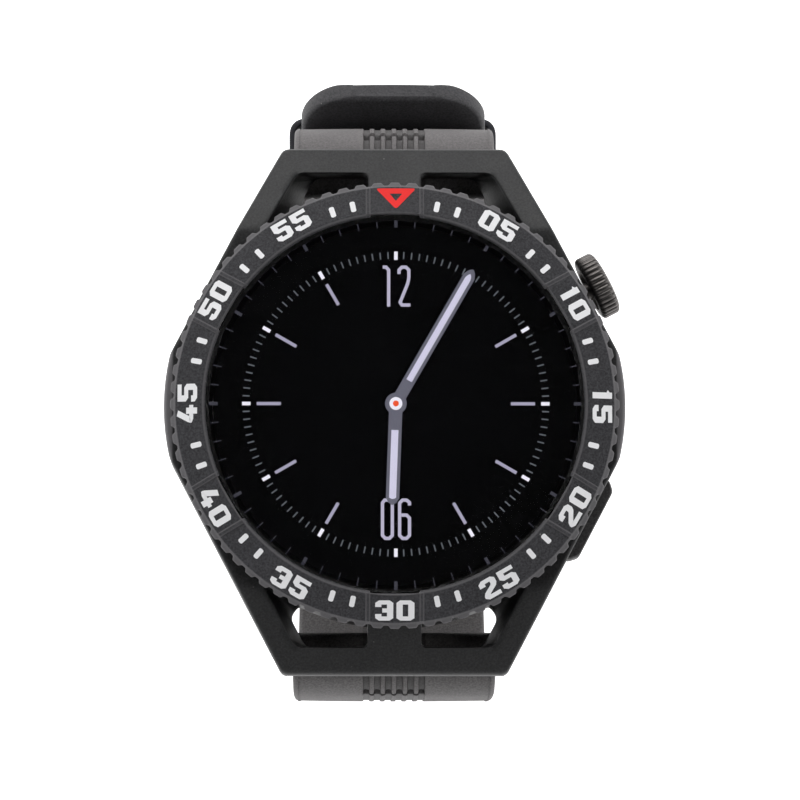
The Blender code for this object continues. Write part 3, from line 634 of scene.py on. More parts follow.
def skin(name, points, finish, wrap_u=False, sharp=35):
    """A closed solid from a grid: rows that aren't wrapped get a polygon cap at each end."""
    nu, nv = points.shape[:2]
    faces = grid_faces(nu, nv, wrap_u, True)
    if not wrap_u:
        faces += [list(range(nv))[::-1], list(range((nu - 1) * nv, nu * nv))]
    return outward(link_piece(name, points.reshape(-1, 3), faces, finish, sharp))


# %% [markdown]
# Round parts are a profile spun about an axis, as on a lathe. Flat parts are an outline stacked at
# several heights. Both are the same grid, so both go through `skin`.

# %% Spun and stacked shapes
def spun(profile, turns):
    """Angle, radius and height of every point of a profile spun in equal turns."""
    angle = (np.arange(turns) * TAU / turns)[:, None]
    profile = np.asarray(profile, float)
    return angle, profile[:, 0] + np.zeros_like(angle), profile[:, 1] + np.zeros_like(angle)


def turned(name, profile, finish, segments=192, matrix=None, radius=None, sharp=30):
    """A closed profile of (radius, height) spun about +Z. radius(angle, r, z) may wave the radius."""
    angle, r, z = spun(profile, segments)
    if radius is not None:
        r = radius(angle, r, z)
    points = np.stack([r * np.cos(angle), r * np.sin(angle), z], -1)
    if matrix is not None:
        points = points @ np.asarray(matrix)[:3, :3].T + np.asarray(matrix)[:3, 3]
    return skin(name, points, finish, wrap_u=True, sharp=sharp)


def at_height(flat, z):
    """Points in the plane, lifted to one height or to a height each."""
    return np.column_stack([flat, np.broadcast_to(z, len(flat))])


def turned_rod(name, radius, z0, z1, finish, segments=48, ease=0.0):
    """A closed rod about +Z, with eased rims."""
    rows = [(radius - ease, z0), (radius, z0 + ease), (radius, z1 - ease), (radius - ease, z1)]
    if not ease:
        rows = [(radius, z0), (radius, z1)]
    angle = np.arange(segments) * TAU / segments
    circle = np.stack([np.cos(angle), np.sin(angle)], 1)
    return skin(name, np.array([at_height(r * circle, z) for r, z in rows]), finish)


def rounded(corners, radius, steps=5):
    """A polygon with each corner cut by a quadratic curve that starts `radius` from the corner."""
    corners = np.asarray(corners, float)
    radius = np.broadcast_to(np.asarray(radius, float), len(corners))[:, None]
    before, after = np.roll(corners, 1, 0), np.roll(corners, -1, 0)
    reach_in = np.linalg.norm(before - corners, axis=1)[:, None]
    reach_out = np.linalg.norm(after - corners, axis=1)[:, None]
    start = corners + (before - corners) / reach_in * np.minimum(radius, reach_in * 0.49)
    end = corners + (after - corners) / reach_out * np.minimum(radius, reach_out * 0.49)
    t = np.linspace(0, 1, steps + 1)[None, :, None]
    curve = (1 - t) ** 2 * start[:, None] + 2 * t * (1 - t) * corners[:, None] + t**2 * end[:, None]
    return curve.reshape(-1, corners.shape[1])


def even_loop(loop, count):
    """The same closed line with an even number of steps, so that two loops can be joined."""
    ends = np.vstack([loop, loop[:1]])
    run = np.concatenate([[0], np.cumsum(np.linalg.norm(np.diff(ends, axis=0), axis=1))])
    s = np.linspace(0, run[-1], count + 1)[:-1]
    return np.stack([np.interp(s, run, ends[:, k]) for k in range(ends.shape[1])], -1)


def dense(loop, spacing, closed=True):
    """The same line with points no further apart than spacing."""
    ends = np.vstack([loop, loop[:1]]) if closed else loop
    run = np.concatenate([[0], np.cumsum(np.linalg.norm(np.diff(ends, axis=0), axis=1))])
    count = max(int(np.ceil(run[-1] / spacing)), 4)
    s = np.linspace(0, run[-1], count + 1)
    line = np.stack([np.interp(s, run, ends[:, k]) for k in range(ends.shape[1])], -1)
    return line[:-1] if closed else line


def block(name, low, high, finish, radius=0.25):
    """A box with rounded upright edges and eased top and bottom rims."""
    (x0, y0, z0), (x1, y1, z1) = low, high
    middle = np.array([(x0 + x1) / 2, (y0 + y1) / 2])
    half = np.array([(x1 - x0) / 2, (y1 - y0) / 2])
    square = np.array([[1, -1], [1, 1], [-1, 1], [-1, -1]])
    levels = ((z0, radius), (z0 + radius * 0.3, radius * 0.3), (z0 + radius, 0),
              (z1 - radius, 0), (z1 - radius * 0.3, radius * 0.3), (z1, radius))
    return skin(name, np.array([at_height(rounded(middle + square * (half - inset), radius, 4), z)
                                for z, inset in levels]), finish)


# %% [markdown]
# A finished piece keeps its object at the origin, so a place is worked into its mesh. Holes and
# joints are made with solid tools: a closed piece minus or plus another closed piece.

# %% Placing and cutting
CROWN_SHIFT, BUTTON_SHIFT = 1.7, -0.95              # along the flank, from each key's own axis


def key_matrix(side, offset):
    """Local +Z leaves the case along a key's axis; side +1 is the crown, -1 the button."""
    angle = side * KEY_ANGLE
    out = np.array([np.cos(angle), np.sin(angle), 0])
    along = np.array([-np.sin(angle), np.cos(angle), 0])
    matrix = np.eye(4)
    matrix[:3, :3] = np.stack([along, [0, 0, 1], out], 1)
    matrix[:3, 3] = along * offset + np.array([0, 0, KEY_Z])
    return matrix


def move_mesh(piece, matrix):
    """Applies a place given in millimetres to the mesh, so that the object stays at the origin."""
    matrix = np.asarray(matrix)
    points = np.empty(len(piece.data.vertices) * 3)
    piece.data.vertices.foreach_get("co", points)
    points = points.reshape(-1, 3) @ matrix[:3, :3].T + matrix[:3, 3] * MM
    piece.data.vertices.foreach_set("co", points.ravel())
    piece.data.update()
    return outward(piece)


def moved(x=0.0, y=0.0, z=0.0):
    """The matrix of a plain move."""
    matrix = np.eye(4)
    matrix[:3, 3] = x, y, z
    return matrix


def cut_from(piece, cutters, operation="DIFFERENCE"):
    """Takes closed tools out of a closed piece, or adds them, and applies the result."""
    for cutter in cutters:
        modifier = piece.modifiers.new("cut", "BOOLEAN")
        modifier.operation, modifier.solver, modifier.object = operation, "MANIFOLD", cutter
        graph = bpy.context.evaluated_depsgraph_get()
        mesh = bpy.data.meshes.new_from_object(piece.evaluated_get(graph))
        piece.modifiers.clear()
        piece.data = mesh
        bpy.data.objects.remove(cutter, do_unlink=True)
    return piece


print("crown leaves the case along", np.round(key_matrix(1, 0)[:3, 2], 2).tolist())


# %% [markdown]
# ## The case
# The mid-case is one moulding: an eight-sided outline whose lug ends fall away from the bezel. It
# is a ring-shaped grid, angle by profile. The outline is a rounded polygon, the top is a height
# that depends only on the place, and the outer edge is eased by bending the last part down.
# Carving it from a box would leave the slopes and the flanks to chance.

# %% Case outline and top
CASE_R, FLANK_ARC = 23.55, 13.2                     # radius and half angle of the round flanks
ARM_START, ARM_END = (22.18, 6.8), (11.47, LUG_Y)   # the straight outside of a lug arm
EASE = 0.38


def case_corners():
    """Right half: lug end, arm, flank arc, arm; then the same turned half a turn."""
    arc = np.radians(np.linspace(-FLANK_ARC, FLANK_ARC, 9))
    side = np.stack([CASE_R * np.cos(arc), CASE_R * np.sin(arc)], 1)
    quarter = np.array([ARM_START, ARM_END])
    right = np.vstack([quarter[::-1] * [1, -1], side, quarter])
    return np.vstack([right, -right])


def case_loop():
    """The rounded outline; the corners of the lug ends are the roundest."""
    corners = case_corners()
    at_lug_end = np.abs(corners[:, 1]) > 20
    return dense(rounded(corners, np.where(at_lug_end, 0.6, 0.4)), 0.35)


def slope_height(y):
    """Level top, then a straight fall towards the lug end, joined over a millimetre."""
    past = np.abs(y) - SLOPE_START
    eased = 0.5 * (past + np.sqrt(past**2 + 0.05))
    return CASE_TOP - eased * SLOPE


def case_grid():
    """Each column runs from the inner base up the wall, over the rim and in along the top. The rim
    is a quarter circle: its drop is EASE less the root of (EASE squared less the square of the way
    left to the end of the curve)."""
    loop = case_loop()
    inner = loop / np.linalg.norm(loop, axis=1)[:, None] * 19.6
    t = np.array([0, 0.02, 0.04, 0.065, 0.09, 0.13, 0.18, 0.25, 0.35, 0.5, 0.65, 0.8, 0.92, 1.0])
    plan = loop[None] + (inner - loop)[None] * t[:, None, None]
    left = EASE - np.minimum(np.linalg.norm(loop[None] - plan, axis=2), EASE)
    drop = EASE - np.sqrt(np.maximum(EASE**2 - left**2, 0))
    top = np.concatenate([plan, (slope_height(plan[..., 1]) - drop)[..., None]], 2)
    belly = BACK + 1.6
    levels = [(BACK - 0.6, 0.972), (BACK - 0.35, 0.983), (BACK + 0.4, 0.992), (belly, 1.0)]
    wall = [at_height(loop * f, z) for z, f in levels]
    wall += [at_height(loop, belly + (top[0][:, 2] - belly) * f) for f in (0.35, 0.7, 0.9)]
    rows = np.concatenate([at_height(inner, BACK - 0.6)[None], np.array(wall), top])
    return np.swapaxes(rows, 0, 1)


print("case outline:", len(case_loop()), "points")

# %% [markdown]
# Each lug window is a prism with rounded corners. Its outline swells where it meets the top, so
# the cut leaves a rounded lip instead of a knife edge. The arm's wall leans in lower down.

# %% Lug windows
BRIDGE, WINDOW_OUTER, WINDOW_CORE = 2.75, 24.4, CORE_R - 0.05
LIP = ((-0.6, 0.12, 0.0), (-0.3, 0.05, 0.0), (-0.14, 0.02, 0.02), (-0.05, 0.0, 0.07),
       (0.02, 0.0, 0.17), (2.0, 0.0, 0.22))         # height from the top, lean, growth


def window_loop(reach, gap, grow=0.0):
    """Window at 12 o'clock, right of the bridge: bridge, outer wall, arm, and the round core.

    The narrow end stops where the arm is `gap` away from the core, and is rounded there."""
    flank = np.array([np.cos(KEY_ANGLE), np.sin(KEY_ANGLE)])
    along = np.array([-flank[1], flank[0]])
    corner = np.array([(reach - WINDOW_OUTER * flank[1]) / flank[0], WINDOW_OUTER])
    narrow = flank * reach + along * np.sqrt((WINDOW_CORE + gap) ** 2 - reach**2)
    angles = np.linspace(np.arctan2(narrow[1], narrow[0]) + 0.01, np.arccos(BRIDGE / WINDOW_CORE), 14)
    arc = WINDOW_CORE * np.stack([np.cos(angles), np.sin(angles)], 1)
    corners = np.vstack([[[BRIDGE, WINDOW_OUTER]], [corner], [narrow], arc])
    radius = np.r_[0.6, 0.9, 0.6 * gap, 0.6 * gap, np.full(13, 0.05)]
    loop = even_loop(rounded(corners, radius, 8), 150)
    tangent = np.roll(loop, -1, 0) - np.roll(loop, 1, 0)
    normal = np.stack([-tangent[:, 1], tangent[:, 0]], 1)
    normal /= np.linalg.norm(normal, axis=1)[:, None]
    held = (np.linalg.norm(loop, axis=1) < WINDOW_CORE + 0.1)[:, None]
    return loop + normal * np.where(held, 0, grow)


def window_cutter(sx, sy):
    """The arm's wall leans in below the top, so less of the strap shows than the lip suggests."""
    arm = FLANK - 2.5
    lower = window_loop(arm - (1.6 if sy > 0 else 1.0), 1.5)
    rows = [at_height(lower, z) for z in (BACK - 3, BACK + 1.2, BACK + 2.6)]
    for depth, lean, grow in LIP:
        loop = window_loop(arm - lean, 0.45, grow)
        rows.append(at_height(loop, slope_height(loop[:, 1]) + depth))
    rows.append(at_height(loop, CASE_TOP + 4))
    return skin("window_tool", np.array(rows) * [sx, sy, 1], case_finish)


# %% [markdown]
# The moulding is cut by the four windows, a recess for each strap, a pocket for the key and a bore
# for the crown, and hollowed from below. The round wall that carries the bezel is a second piece.

# %% Case
def build_case():
    """Windows, strap recesses, key pocket, crown bore, then the hollow below, in that order."""
    case = skin("case_moulding", case_grid(), case_finish, wrap_u=True, sharp=40)
    cutters = [window_cutter(sx, sy) for sx in (1, -1) for sy in (1, -1)]
    for near, far in ((22.45, 40), (-40, -22.45)):
        cutters.append(block("recess_tool", (-11, near, BACK - 4), (11, far, BACK + 2.45),
                             case_finish, 0.3))
    pocket = block("pocket_tool", (-4.75, -1.85, 21.3), (4.75, 1.85, 26), case_finish, 0.3)
    bore = turned_rod("bore_tool", 2.3, 19.0, 26.0, case_finish)
    cutters += [move_mesh(pocket, key_matrix(-1, BUTTON_SHIFT)),
                move_mesh(bore, key_matrix(1, CROWN_SHIFT)),
                block("underside_tool", (-40, -16, BACK - 4), (40, 16, BACK + 1.4), case_finish, 0.3),
                turned_rod("cover_seat_tool", 21.7, BACK - 4, BACK + 1.4, case_finish, 144)]
    return soften(cut_from(case, cutters))


def build_core():
    """The round wall under the bezel, with the seat of the glass inside it."""
    wall = [(19.0, BACK + 1.4), (CORE_R - 0.25, BACK + 1.4), (CORE_R, BACK + 1.65),
            (CORE_R, CASE_TOP - 0.02), (20.5, CASE_TOP - 0.02), (20.2, CASE_TOP + 0.3)]
    seat = [(20.2, BACK + 10.1), (19.5, BACK + 10.1), (19.5, BACK + 8.8), (19.0, BACK + 8.8)]
    return turned("case_core", wall + seat, case_finish)


case, core = build_case(), build_core()
for piece in (case, core):
    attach(piece, "watch")
    tell(piece)
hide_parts("case_body")
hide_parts("case_body")

# %% [markdown]
# ## The bezel
# The ring is spun as a grid of angle by profile. Around its edge run 80 lobes with tight valleys,
# which give a wet glove something to hold. Six facets, one every ten minutes, stand a little
# proud; their sides are parallel, so a step is a straight line and not a radius.

# %% Bezel heights
LOBES = 80
FACET_HALF, LEDGE = 2.52, 0.42
CONE_IN_R, CONE_OUT_R = 19.55, 22.3
CONE_IN_Z, CONE_OUT_Z = BEZEL_HIGH - 0.06, BEZEL_LOW + 1.42


def smooth_step(x, low, high):
    """0 below low, 1 above high, and 3t^2 - 2t^3 between them."""
    t = np.clip((x - low) / (high - low), 0, 1)
    return t * t * (3 - 2 * t)


def facet_local(angle, r):
    """Distance across and along the nearest of the six facets."""
    half = np.radians(FACET_TURN / 2)
    local = (angle + half) % np.radians(FACET_TURN) - half
    return r * np.sin(local), r * np.cos(local)


def facet_lift(angle, r):
    """0.14 mm on the ledge that borders a facet, 0.06 inside the facet, 0 beyond."""
    across, _ = facet_local(angle, r)
    inner = 1 - smooth_step(np.abs(across), FACET_HALF - 0.04, FACET_HALF + 0.06)
    outer = 1 - smooth_step(np.abs(across), FACET_HALF + LEDGE - 0.06, FACET_HALF + LEDGE + 0.04)
    return 0.14 * outer - 0.08 * inner


def cone_height(angle, r):
    """A straight fall from the inner to the outer radius, plus the facets."""
    fall = (np.clip(r, CONE_IN_R, CONE_OUT_R) - CONE_IN_R) / (CONE_OUT_R - CONE_IN_R)
    return CONE_IN_Z + fall * (CONE_OUT_Z - CONE_IN_Z) + facet_lift(angle, r)


def lobe_wave(angle):
    """1 on a lobe, 0 in a valley about two thirds as wide."""
    return smooth_step(np.cos(LOBES * angle), -0.95, 0.3)


# %% [markdown]
# The profile is written as radius and height above the ring's foot. On the cone only the radius is
# given, and the height comes from the formula above.

# %% Bezel ring
FOOT = [(20.5, 0), (21.8, 0), (22.1, 0.1), (22.6, 0.4), (22.8, 0.56), (22.84, 0.7), (22.84, 0.86),
        (22.78, 0.98), (22.62, 1.1), (22.5, 1.17), (22.33, 1.34)]
INNER_LIP = [(19.42, 0.09), (19.3, 0.17), (19.24, 0.27), (19.23, 0.4), (20.5, 0.42)]
VALLEY_R, LOBE_STEPS = 22.5, 24


def build_bezel():
    """The edge is drawn in to VALLEY_R between lobes; a facet's inner edge is a straight line."""
    cone = np.linspace(CONE_IN_R, 22.26, 12)[::-1]
    profile = ([(r, BEZEL_LOW + z) for r, z in FOOT] + [(r, 0) for r in cone]
               + [(r, BEZEL_HIGH - z) for r, z in INNER_LIP])
    angle, r, z = spun(profile, LOBES * LOBE_STEPS)
    on_cone = z == 0
    rim = smooth_step(r, 22.5, 22.56) * smooth_step(z, BEZEL_LOW + 0.1, BEZEL_LOW + 0.4)
    r = r - rim * (r - VALLEY_R) * (1 - lobe_wave(angle))
    z = np.where(on_cone, cone_height(angle, r), z)
    across, ahead = facet_local(angle, r)
    inside = 1 - smooth_step(np.abs(across), FACET_HALF - 0.08, FACET_HALF + 0.02)
    r = r + inside * np.clip(19.36 - ahead, 0, 0.2) * (r < 19.5)
    points = np.stack([r * np.sin(angle), r * np.cos(angle), z], -1)
    return skin("bezel_scalloped", points, bezel_finish, wrap_u=True, sharp=32)


bezel = build_bezel()
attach(bezel, "bezel")
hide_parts("bezel_ring")
tell(bezel)

# %% [markdown]
# ## Numbers, ticks and the triangle
# The print is laid as thin ribbons. A ribbon is a line with a width, its corners mitred, and it is
# draped on the bezel's own height, so it follows cone and facet. A font could give the digits, but
# it would not have their square, stencilled shape.

# %% Ribbons
def ribbon_sides(line, width, closed):
    """The two edges of a flat ribbon along a line, with mitred corners."""
    ahead = np.roll(line, -1, 0) - line
    behind = line - np.roll(line, 1, 0)
    if not closed:
        ahead[-1], behind[0] = behind[-1], ahead[0]
    ahead = ahead / np.linalg.norm(ahead, axis=1)[:, None]
    behind = behind / np.linalg.norm(behind, axis=1)[:, None]
    middle = ahead + behind
    middle /= np.linalg.norm(middle, axis=1)[:, None]
    normal = np.stack([-middle[:, 1], middle[:, 0]], 1)
    spread = 1 / np.maximum(np.sum(middle * ahead, 1), 0.45)
    offset = normal * (spread * width / 2)[:, None]
    return line + offset, line - offset


def lifted_grid(edges, place, height):
    """Edges drawn flat, each put in its place and lifted by its own height over the ground."""
    laid = [(place(flat), lift) for flat, lift in edges]
    return np.stack([at_height(xy, height(xy) + lift) for xy, lift in laid], 1)


def ribbon_grid(line, width, closed, place, height, thick):
    """Four edges of a ribbon: place(points) puts flat points in the plane, height(points) lifts
    them, and `thick` is half the ribbon's thickness."""
    left, right = ribbon_sides(np.asarray(line, float), width, closed)
    edges = ((left, thick), (left, -thick), (right, -thick), (right, thick))
    return lifted_grid(edges, place, height)


def join_grids(name, grids, finish):
    """One object from many small ribbons, each closed, each turned outwards on its own."""
    points, faces, start = [], [], 0
    for grid, closed in grids:
        nu, nv = grid.shape[:2]
        faces += (np.array(grid_faces(nu, nv, closed, True))[:, ::-1] + start).tolist()
        if not closed:
            faces += [list(range(start, start + nv)),
                      list(range(start + (nu - 1) * nv, start + nu * nv))[::-1]]
        points.append(grid.reshape(-1, 3))
        start += nu * nv
    return link_piece(name, np.concatenate(points), faces, finish, 30)


# %% [markdown]
# The digits are drawn in a cell one unit high. Square corners are cut, as on stencilled tool
# numbers.

# %% Digits
def divided(line, spacing, closed):
    """Adds points along each straight piece and keeps every corner."""
    ends = np.vstack([line, line[:1]]) if closed else line
    counts = [max(int(np.linalg.norm(b - a) / spacing), 1) for a, b in zip(ends, ends[1:])]
    parts = [a + (b - a) * np.linspace(0, 1, count + 1)[:-1, None]
             for a, b, count in zip(ends, ends[1:], counts)]
    return np.vstack(parts if closed else parts + [ends[-1:]])


def chamfered(line, cut):
    """Cuts each inner corner of an open line at an equal distance on both sides."""
    line = np.asarray(line, float)
    here = line[1:-1, None]
    ways = np.stack([line[:-2], line[2:]], 1) - here
    reach = np.linalg.norm(ways, axis=2, keepdims=True)
    corners = here + ways / reach * np.minimum(cut, reach * 0.45)
    return np.vstack([line[:1], corners.reshape(-1, 2), line[-1:]])


SQUEEZE, STROKE, FLAG_STROKE = 1.48, 0.43, 0.22


def digit_lines():
    """Centre lines and widths of 0 to 5 about the middle of each digit. x is squeezed: drawn wider
    afterwards, upright strokes become SQUEEZE times thicker than level ones."""
    w, top, end = 0.40, 0.82, STROKE / 2
    zero = [(0, top), (w, top), (w, -top), (-w, -top), (-w, top), (0, top)]
    stem, flag = [(0.08, top + end), (0.08, -top - end)], [(-0.22, top - 0.3), (0.04, top)]
    two = [(-w - 0.01, top - 0.48), (-w, top), (w, top), (w, 0.2), (-w + 0.01, -top + 0.34),
           (-w + 0.01, -top), (w + 0.2, -top)]
    three = [(-w - 0.01, top - 0.46), (-w, top), (w, top), (w, -top), (-w, -top),
             (-w - 0.01, -top + 0.46)]
    bar = [(-w * 0.35, 0.0), (w - 0.1, 0.0)]
    post = [(0.2, -top - end), (0.2, 0.12)]
    slant = [(0.04, top + end), (-w - 0.01, -0.24), (-w - 0.01, -0.42), (w + 0.2, -0.42)]
    roof = [(w + 0.18, top), (-w + 0.01 - end, top)]
    five = [(-w + 0.01, top + end), (-w + 0.01, 0.12), (w, 0.12), (w, -top), (-w, -top),
            (-w - 0.01, -top + 0.42)]
    lines = {"0": [zero], "1": [stem, flag], "2": [two], "3": [three, bar], "4": [post, slant],
             "5": [roof, five]}
    return {mark: [(line, FLAG_STROKE if line is flag else STROKE) for line in drawn]
            for mark, drawn in lines.items()}


print("strokes in each digit:", {mark: len(drawn) for mark, drawn in digit_lines().items()})

# %% [markdown]
# Each drawing is put on the ring at its minute. From 20 to 40 minutes the numbers stand on their
# heads, so that they read upright from 6 o'clock.

# %% Print on the bezel
PRINT_LIFT = 0.022
NUMBER_R, TICK_R, TRIANGLE_R = 21.06, 20.6, 20.98
DIGIT_SHIFT, DIGIT_HEIGHT = 1.07, 0.97


def bezel_place(minute, inwards, shift, radius):
    """Puts a small flat drawing on the bezel at a minute, its top turned outwards or inwards."""
    angle = TAU * minute / 60
    out = np.array([np.sin(angle), np.cos(angle)])
    across = np.array([out[1], -out[0]])
    if inwards:
        out, across = -out, -across
        return lambda flat: -out * radius + (flat[:, :1] + shift) * across + flat[:, 1:] * out
    return lambda flat: out * radius + (flat[:, :1] + shift) * across + flat[:, 1:] * out


def bezel_height(xy):
    """The cone's height under flat points."""
    return cone_height(np.arctan2(xy[:, 0], xy[:, 1]), np.linalg.norm(xy, axis=1))


def bezel_digits():
    """Two digits every five minutes, each a ribbon or two."""
    grids = []
    shapes = digit_lines()
    for minute in range(5, 60, 5):
        inwards = 20 <= minute <= 40
        for mark, shift in zip(f"{minute:02d}", (-DIGIT_SHIFT, DIGIT_SHIFT)):
            on_bezel = bezel_place(minute, inwards, shift + (0.12 if mark == "1" else 0), NUMBER_R)
            place = lambda flat, on_bezel=on_bezel: on_bezel(flat * [SQUEEZE, DIGIT_HEIGHT])
            for line, width in shapes[mark]:
                closed = line[0] == line[-1]
                path = chamfered(line, 0.13)
                path = divided(path[:-1] if closed else path, 0.2, closed)
                grid = ribbon_grid(path, width, closed, place, bezel_height, PRINT_LIFT)
                grids.append((grid, closed))
    return join_grids("bezel_numbers", grids, print_finish)


def bezel_ticks():
    """Rounded bars at the second and third minute of every five: a ribbon whose ends are drawn in."""
    along = np.linspace(-1, 1, 21)
    ahead = np.sign(along) * (1 - (1 - np.abs(along)) ** 2.2) * 0.56
    half = 0.27 * (1 - 0.55 * np.clip((np.abs(ahead) - 0.42) / 0.14, 0, 1) ** 2)
    left, right = np.stack([-half, ahead], 1), np.stack([half, ahead], 1)
    edges = [(left, PRINT_LIFT), (left, -PRINT_LIFT), (right, -PRINT_LIFT), (right, PRINT_LIFT)]
    grids = [(lifted_grid(edges, bezel_place(minute, False, 0.0, TICK_R), bezel_height), False)
             for minute in range(60) if minute % 5 in (2, 3)]
    return join_grids("bezel_ticks", grids, print_finish)


def bezel_triangle():
    """A flat band between a large rounded triangle and the small one that is its hole."""
    outside = even_loop(rounded(np.array([(2.06, 1.14), (-2.06, 1.14), (0, -1.10)]), 0.32, 6), 72)
    inside = even_loop(rounded(np.array([(0.66, 0.58), (-0.66, 0.58), (0, -0.22)]), 0.1, 6), 72)
    edges = ((outside, 0.024), (outside, -0.03), (inside, -0.03), (inside, 0.024))
    band = lifted_grid(edges, bezel_place(0, False, 0.1, TRIANGLE_R), bezel_height)
    return join_grids("bezel_triangle", [(band, True)], red_finish)


for piece in (bezel_digits(), bezel_ticks(), bezel_triangle()):
    outward(piece)
    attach(piece, "bezel")
    tell(piece)

# %% [markdown]
# ## The dial on the display
# The display shows an analogue face. Each mark is a thin ribbon just above the panel: minute ticks
# at the rim, a fine ring, hour bars, two condensed numbers and the hands, one layer over another.
# An image on the panel would do from afar; pieces stay sharp and keep their place in every view.

# %% Marks of the dial
LAYER, FIRST_LAYER, FILM = 0.03, 0.02, 0.008        # between layers, above the panel, half thickness
DIAL_SHIFT = np.array([0.11, 0.11])                 # the display is mounted this far off the centre


def flat_place(angle, radius=0.0, shift=0.0):
    """Turns a flat drawing clockwise by an angle and moves it out along that direction."""
    out = np.array([np.sin(angle), np.cos(angle)])
    across = np.array([out[1], -out[0]])
    return lambda flat: (flat[:, :1] + shift) * across + (flat[:, 1:] + radius) * out + DIAL_SHIFT


def level(layer):
    """The height of a layer, the same under every point."""
    return lambda xy: np.full(len(xy), PANEL_TOP + FIRST_LAYER + LAYER * layer)


def radial_bars(name, angles, r0, r1, width, finish, layer=0):
    """A straight ribbon from radius r0 to r1 at each angle."""
    line = np.array([(0, r0), (0, r1)], float)
    grids = [(ribbon_grid(line, width, False, flat_place(a), level(layer), FILM), False)
             for a in angles]
    return join_grids(name, grids, finish)


def dial_marks():
    """Rim ticks at every minute, a ring of half minutes, and hour bars where no number stands."""
    minutes = TAU * np.arange(60) / 60
    hours = minutes[::5]
    thin = [a for k, a in enumerate(minutes) if k % 5]
    fine = [a for k, a in enumerate(TAU * np.arange(120) / 120) if k % 10]
    bars = [a for k, a in enumerate(hours) if k not in (0, 1, 6)]
    return [radial_bars("rim_ticks", thin, 18.12, 19.0, 0.11, rim_glow),
            radial_bars("rim_hours", hours, 18.12, 19.0, 0.34, rim_glow),
            radial_bars("ring_ticks", fine, 14.9, 15.6, 0.13, blue_grey_glow),
            radial_bars("ring_hours", hours, 14.78, 15.64, 0.36, white_glow, 1),
            radial_bars("hour_bars", bars, 11.7, 14.15, 0.32, bar_glow, 1)]


def tall_digits():
    """Condensed 12 at the top and 06 at the bottom, in thin strokes with rounded shoulders."""
    w, h = 0.50, 1.95
    zero = [(0, h), (w, h), (w, -h), (-w, -h), (-w, h), (0, h)]
    one = [(-0.48, h), (0.12, h), (0.12, -h - 0.16)]
    two = [(-w, h - 0.7), (-w, h), (w, h), (w, 0.55), (-w, -h), (w + 0.16, -h)]
    six = [(w, h - 0.55), (w, h), (-w, h), (-w, -h), (w, -h), (w, 0.42), (-w + 0.17, 0.42)]
    above, below = 12.08, -11.8
    grids = []
    for line, x, y in ((one, -0.86, above), (two, 0.82, above), (zero, -0.86, below),
                       (six, 0.88, below)):
        closed = line[0] == line[-1]
        path = chamfered(line, 0.3)
        path = divided(path[:-1] if closed else path, 0.5, closed)
        grids.append((ribbon_grid(path, 0.33, closed, flat_place(0.0, y, x), level(1), FILM), closed))
    return join_grids("dial_numbers", grids, number_glow)


# %% [markdown]
# The hands are flat bars, a light one laid on a dark one, and the hub is three discs.

# %% Hands and hub
def hand(name, angle, start, length, width, finish, layer, point=0.7):
    """A flat bar from start to length; its last stretch, `point` long, comes to a blunt tip."""
    reach = np.array([start, length - point, length - point * 0.35, length])
    half = width / 2 * np.array([1, 1, 0.6, 0.12])
    right, left = np.stack([half, reach], 1), np.stack([-half, reach], 1)
    edges = ((right, FILM), (right, -FILM), (left, -FILM), (left, FILM))
    bar = lifted_grid(edges, flat_place(angle), level(layer))
    return join_grids(name, [(bar, False)], finish)


def hub(name, radius, finish, layer):
    """A disc on the display's own centre."""
    z = PANEL_TOP + FIRST_LAYER + LAYER * layer
    return move_mesh(turned_rod(name, radius, z - FILM, z + FILM, finish), moved(*DIAL_SHIFT))


minute_angle, hour_angle = np.radians(29.8), np.radians(182.0)
dial = dial_marks() + [
    tall_digits(),
    hand("hour_hand", hour_angle, 0.6, 10.35, 1.36, hand_glow, 2),
    hand("hour_hand_light", hour_angle, 2.7, 9.75, 0.72, hand_light_glow, 3, 0.15),
    hand("minute_hand", minute_angle, 0.6, 15.85, 1.26, hand_glow, 4, 0.8),
    hand("minute_hand_light", minute_angle, 2.7, 15.3, 0.62, hand_light_glow, 5, 0.5),
    hub("hub_rim", 1.1, hand_glow, 6),
    hub("hub_white", 0.66, white_glow, 7),
    hub("hub_dot", 0.3, red_glow, 8),
]
for piece in dial:
    outward(piece)
    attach(piece, "watch")
print("dial pieces:", len(dial))

# %% [markdown]
# ## The glass
# A flat disc with a rounded rim. It is real glass, so the dial shows through it with its own
# gloss.

# %% Cover glass
GLASS_R = 19.44


def build_glass():
    """The profile of half the disc, spun about the dial's axis."""
    low = GLASS_TOP - 1.0
    profile = [(0.01, low), (18.4, low), (19.0, low), (19.2, low + 0.12), (GLASS_R, low + 0.4),
               (GLASS_R, GLASS_TOP - 0.06), (GLASS_R - 0.03, GLASS_TOP), (19.15, GLASS_TOP),
               (18.6, GLASS_TOP), (0.01, GLASS_TOP)]
    return turned("glass_disc", profile, glass_finish, 224)


glass = build_glass()
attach(glass, "watch")
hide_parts("cover_glass")
tell(glass)

# %% [markdown]
# ## The crown
# The knob is a short cylinder with 34 flutes. A flute is a rounded valley in the radius, so the
# profile is spun with a radius that waves with the angle and fades out towards the face and the
# neck.

# %% Crown
FLUTES, FLUTE_DEPTH = 34, 0.17


def fluted(angle, r, z):
    """Valleys of a power of |cos|, full depth on the rim and none within 2.95 mm of the axis."""
    depth = smooth_step(r, 2.95, 3.25)
    return r - depth * FLUTE_DEPTH * (1 - np.abs(np.cos(FLUTES * angle / 2)) ** 0.6)


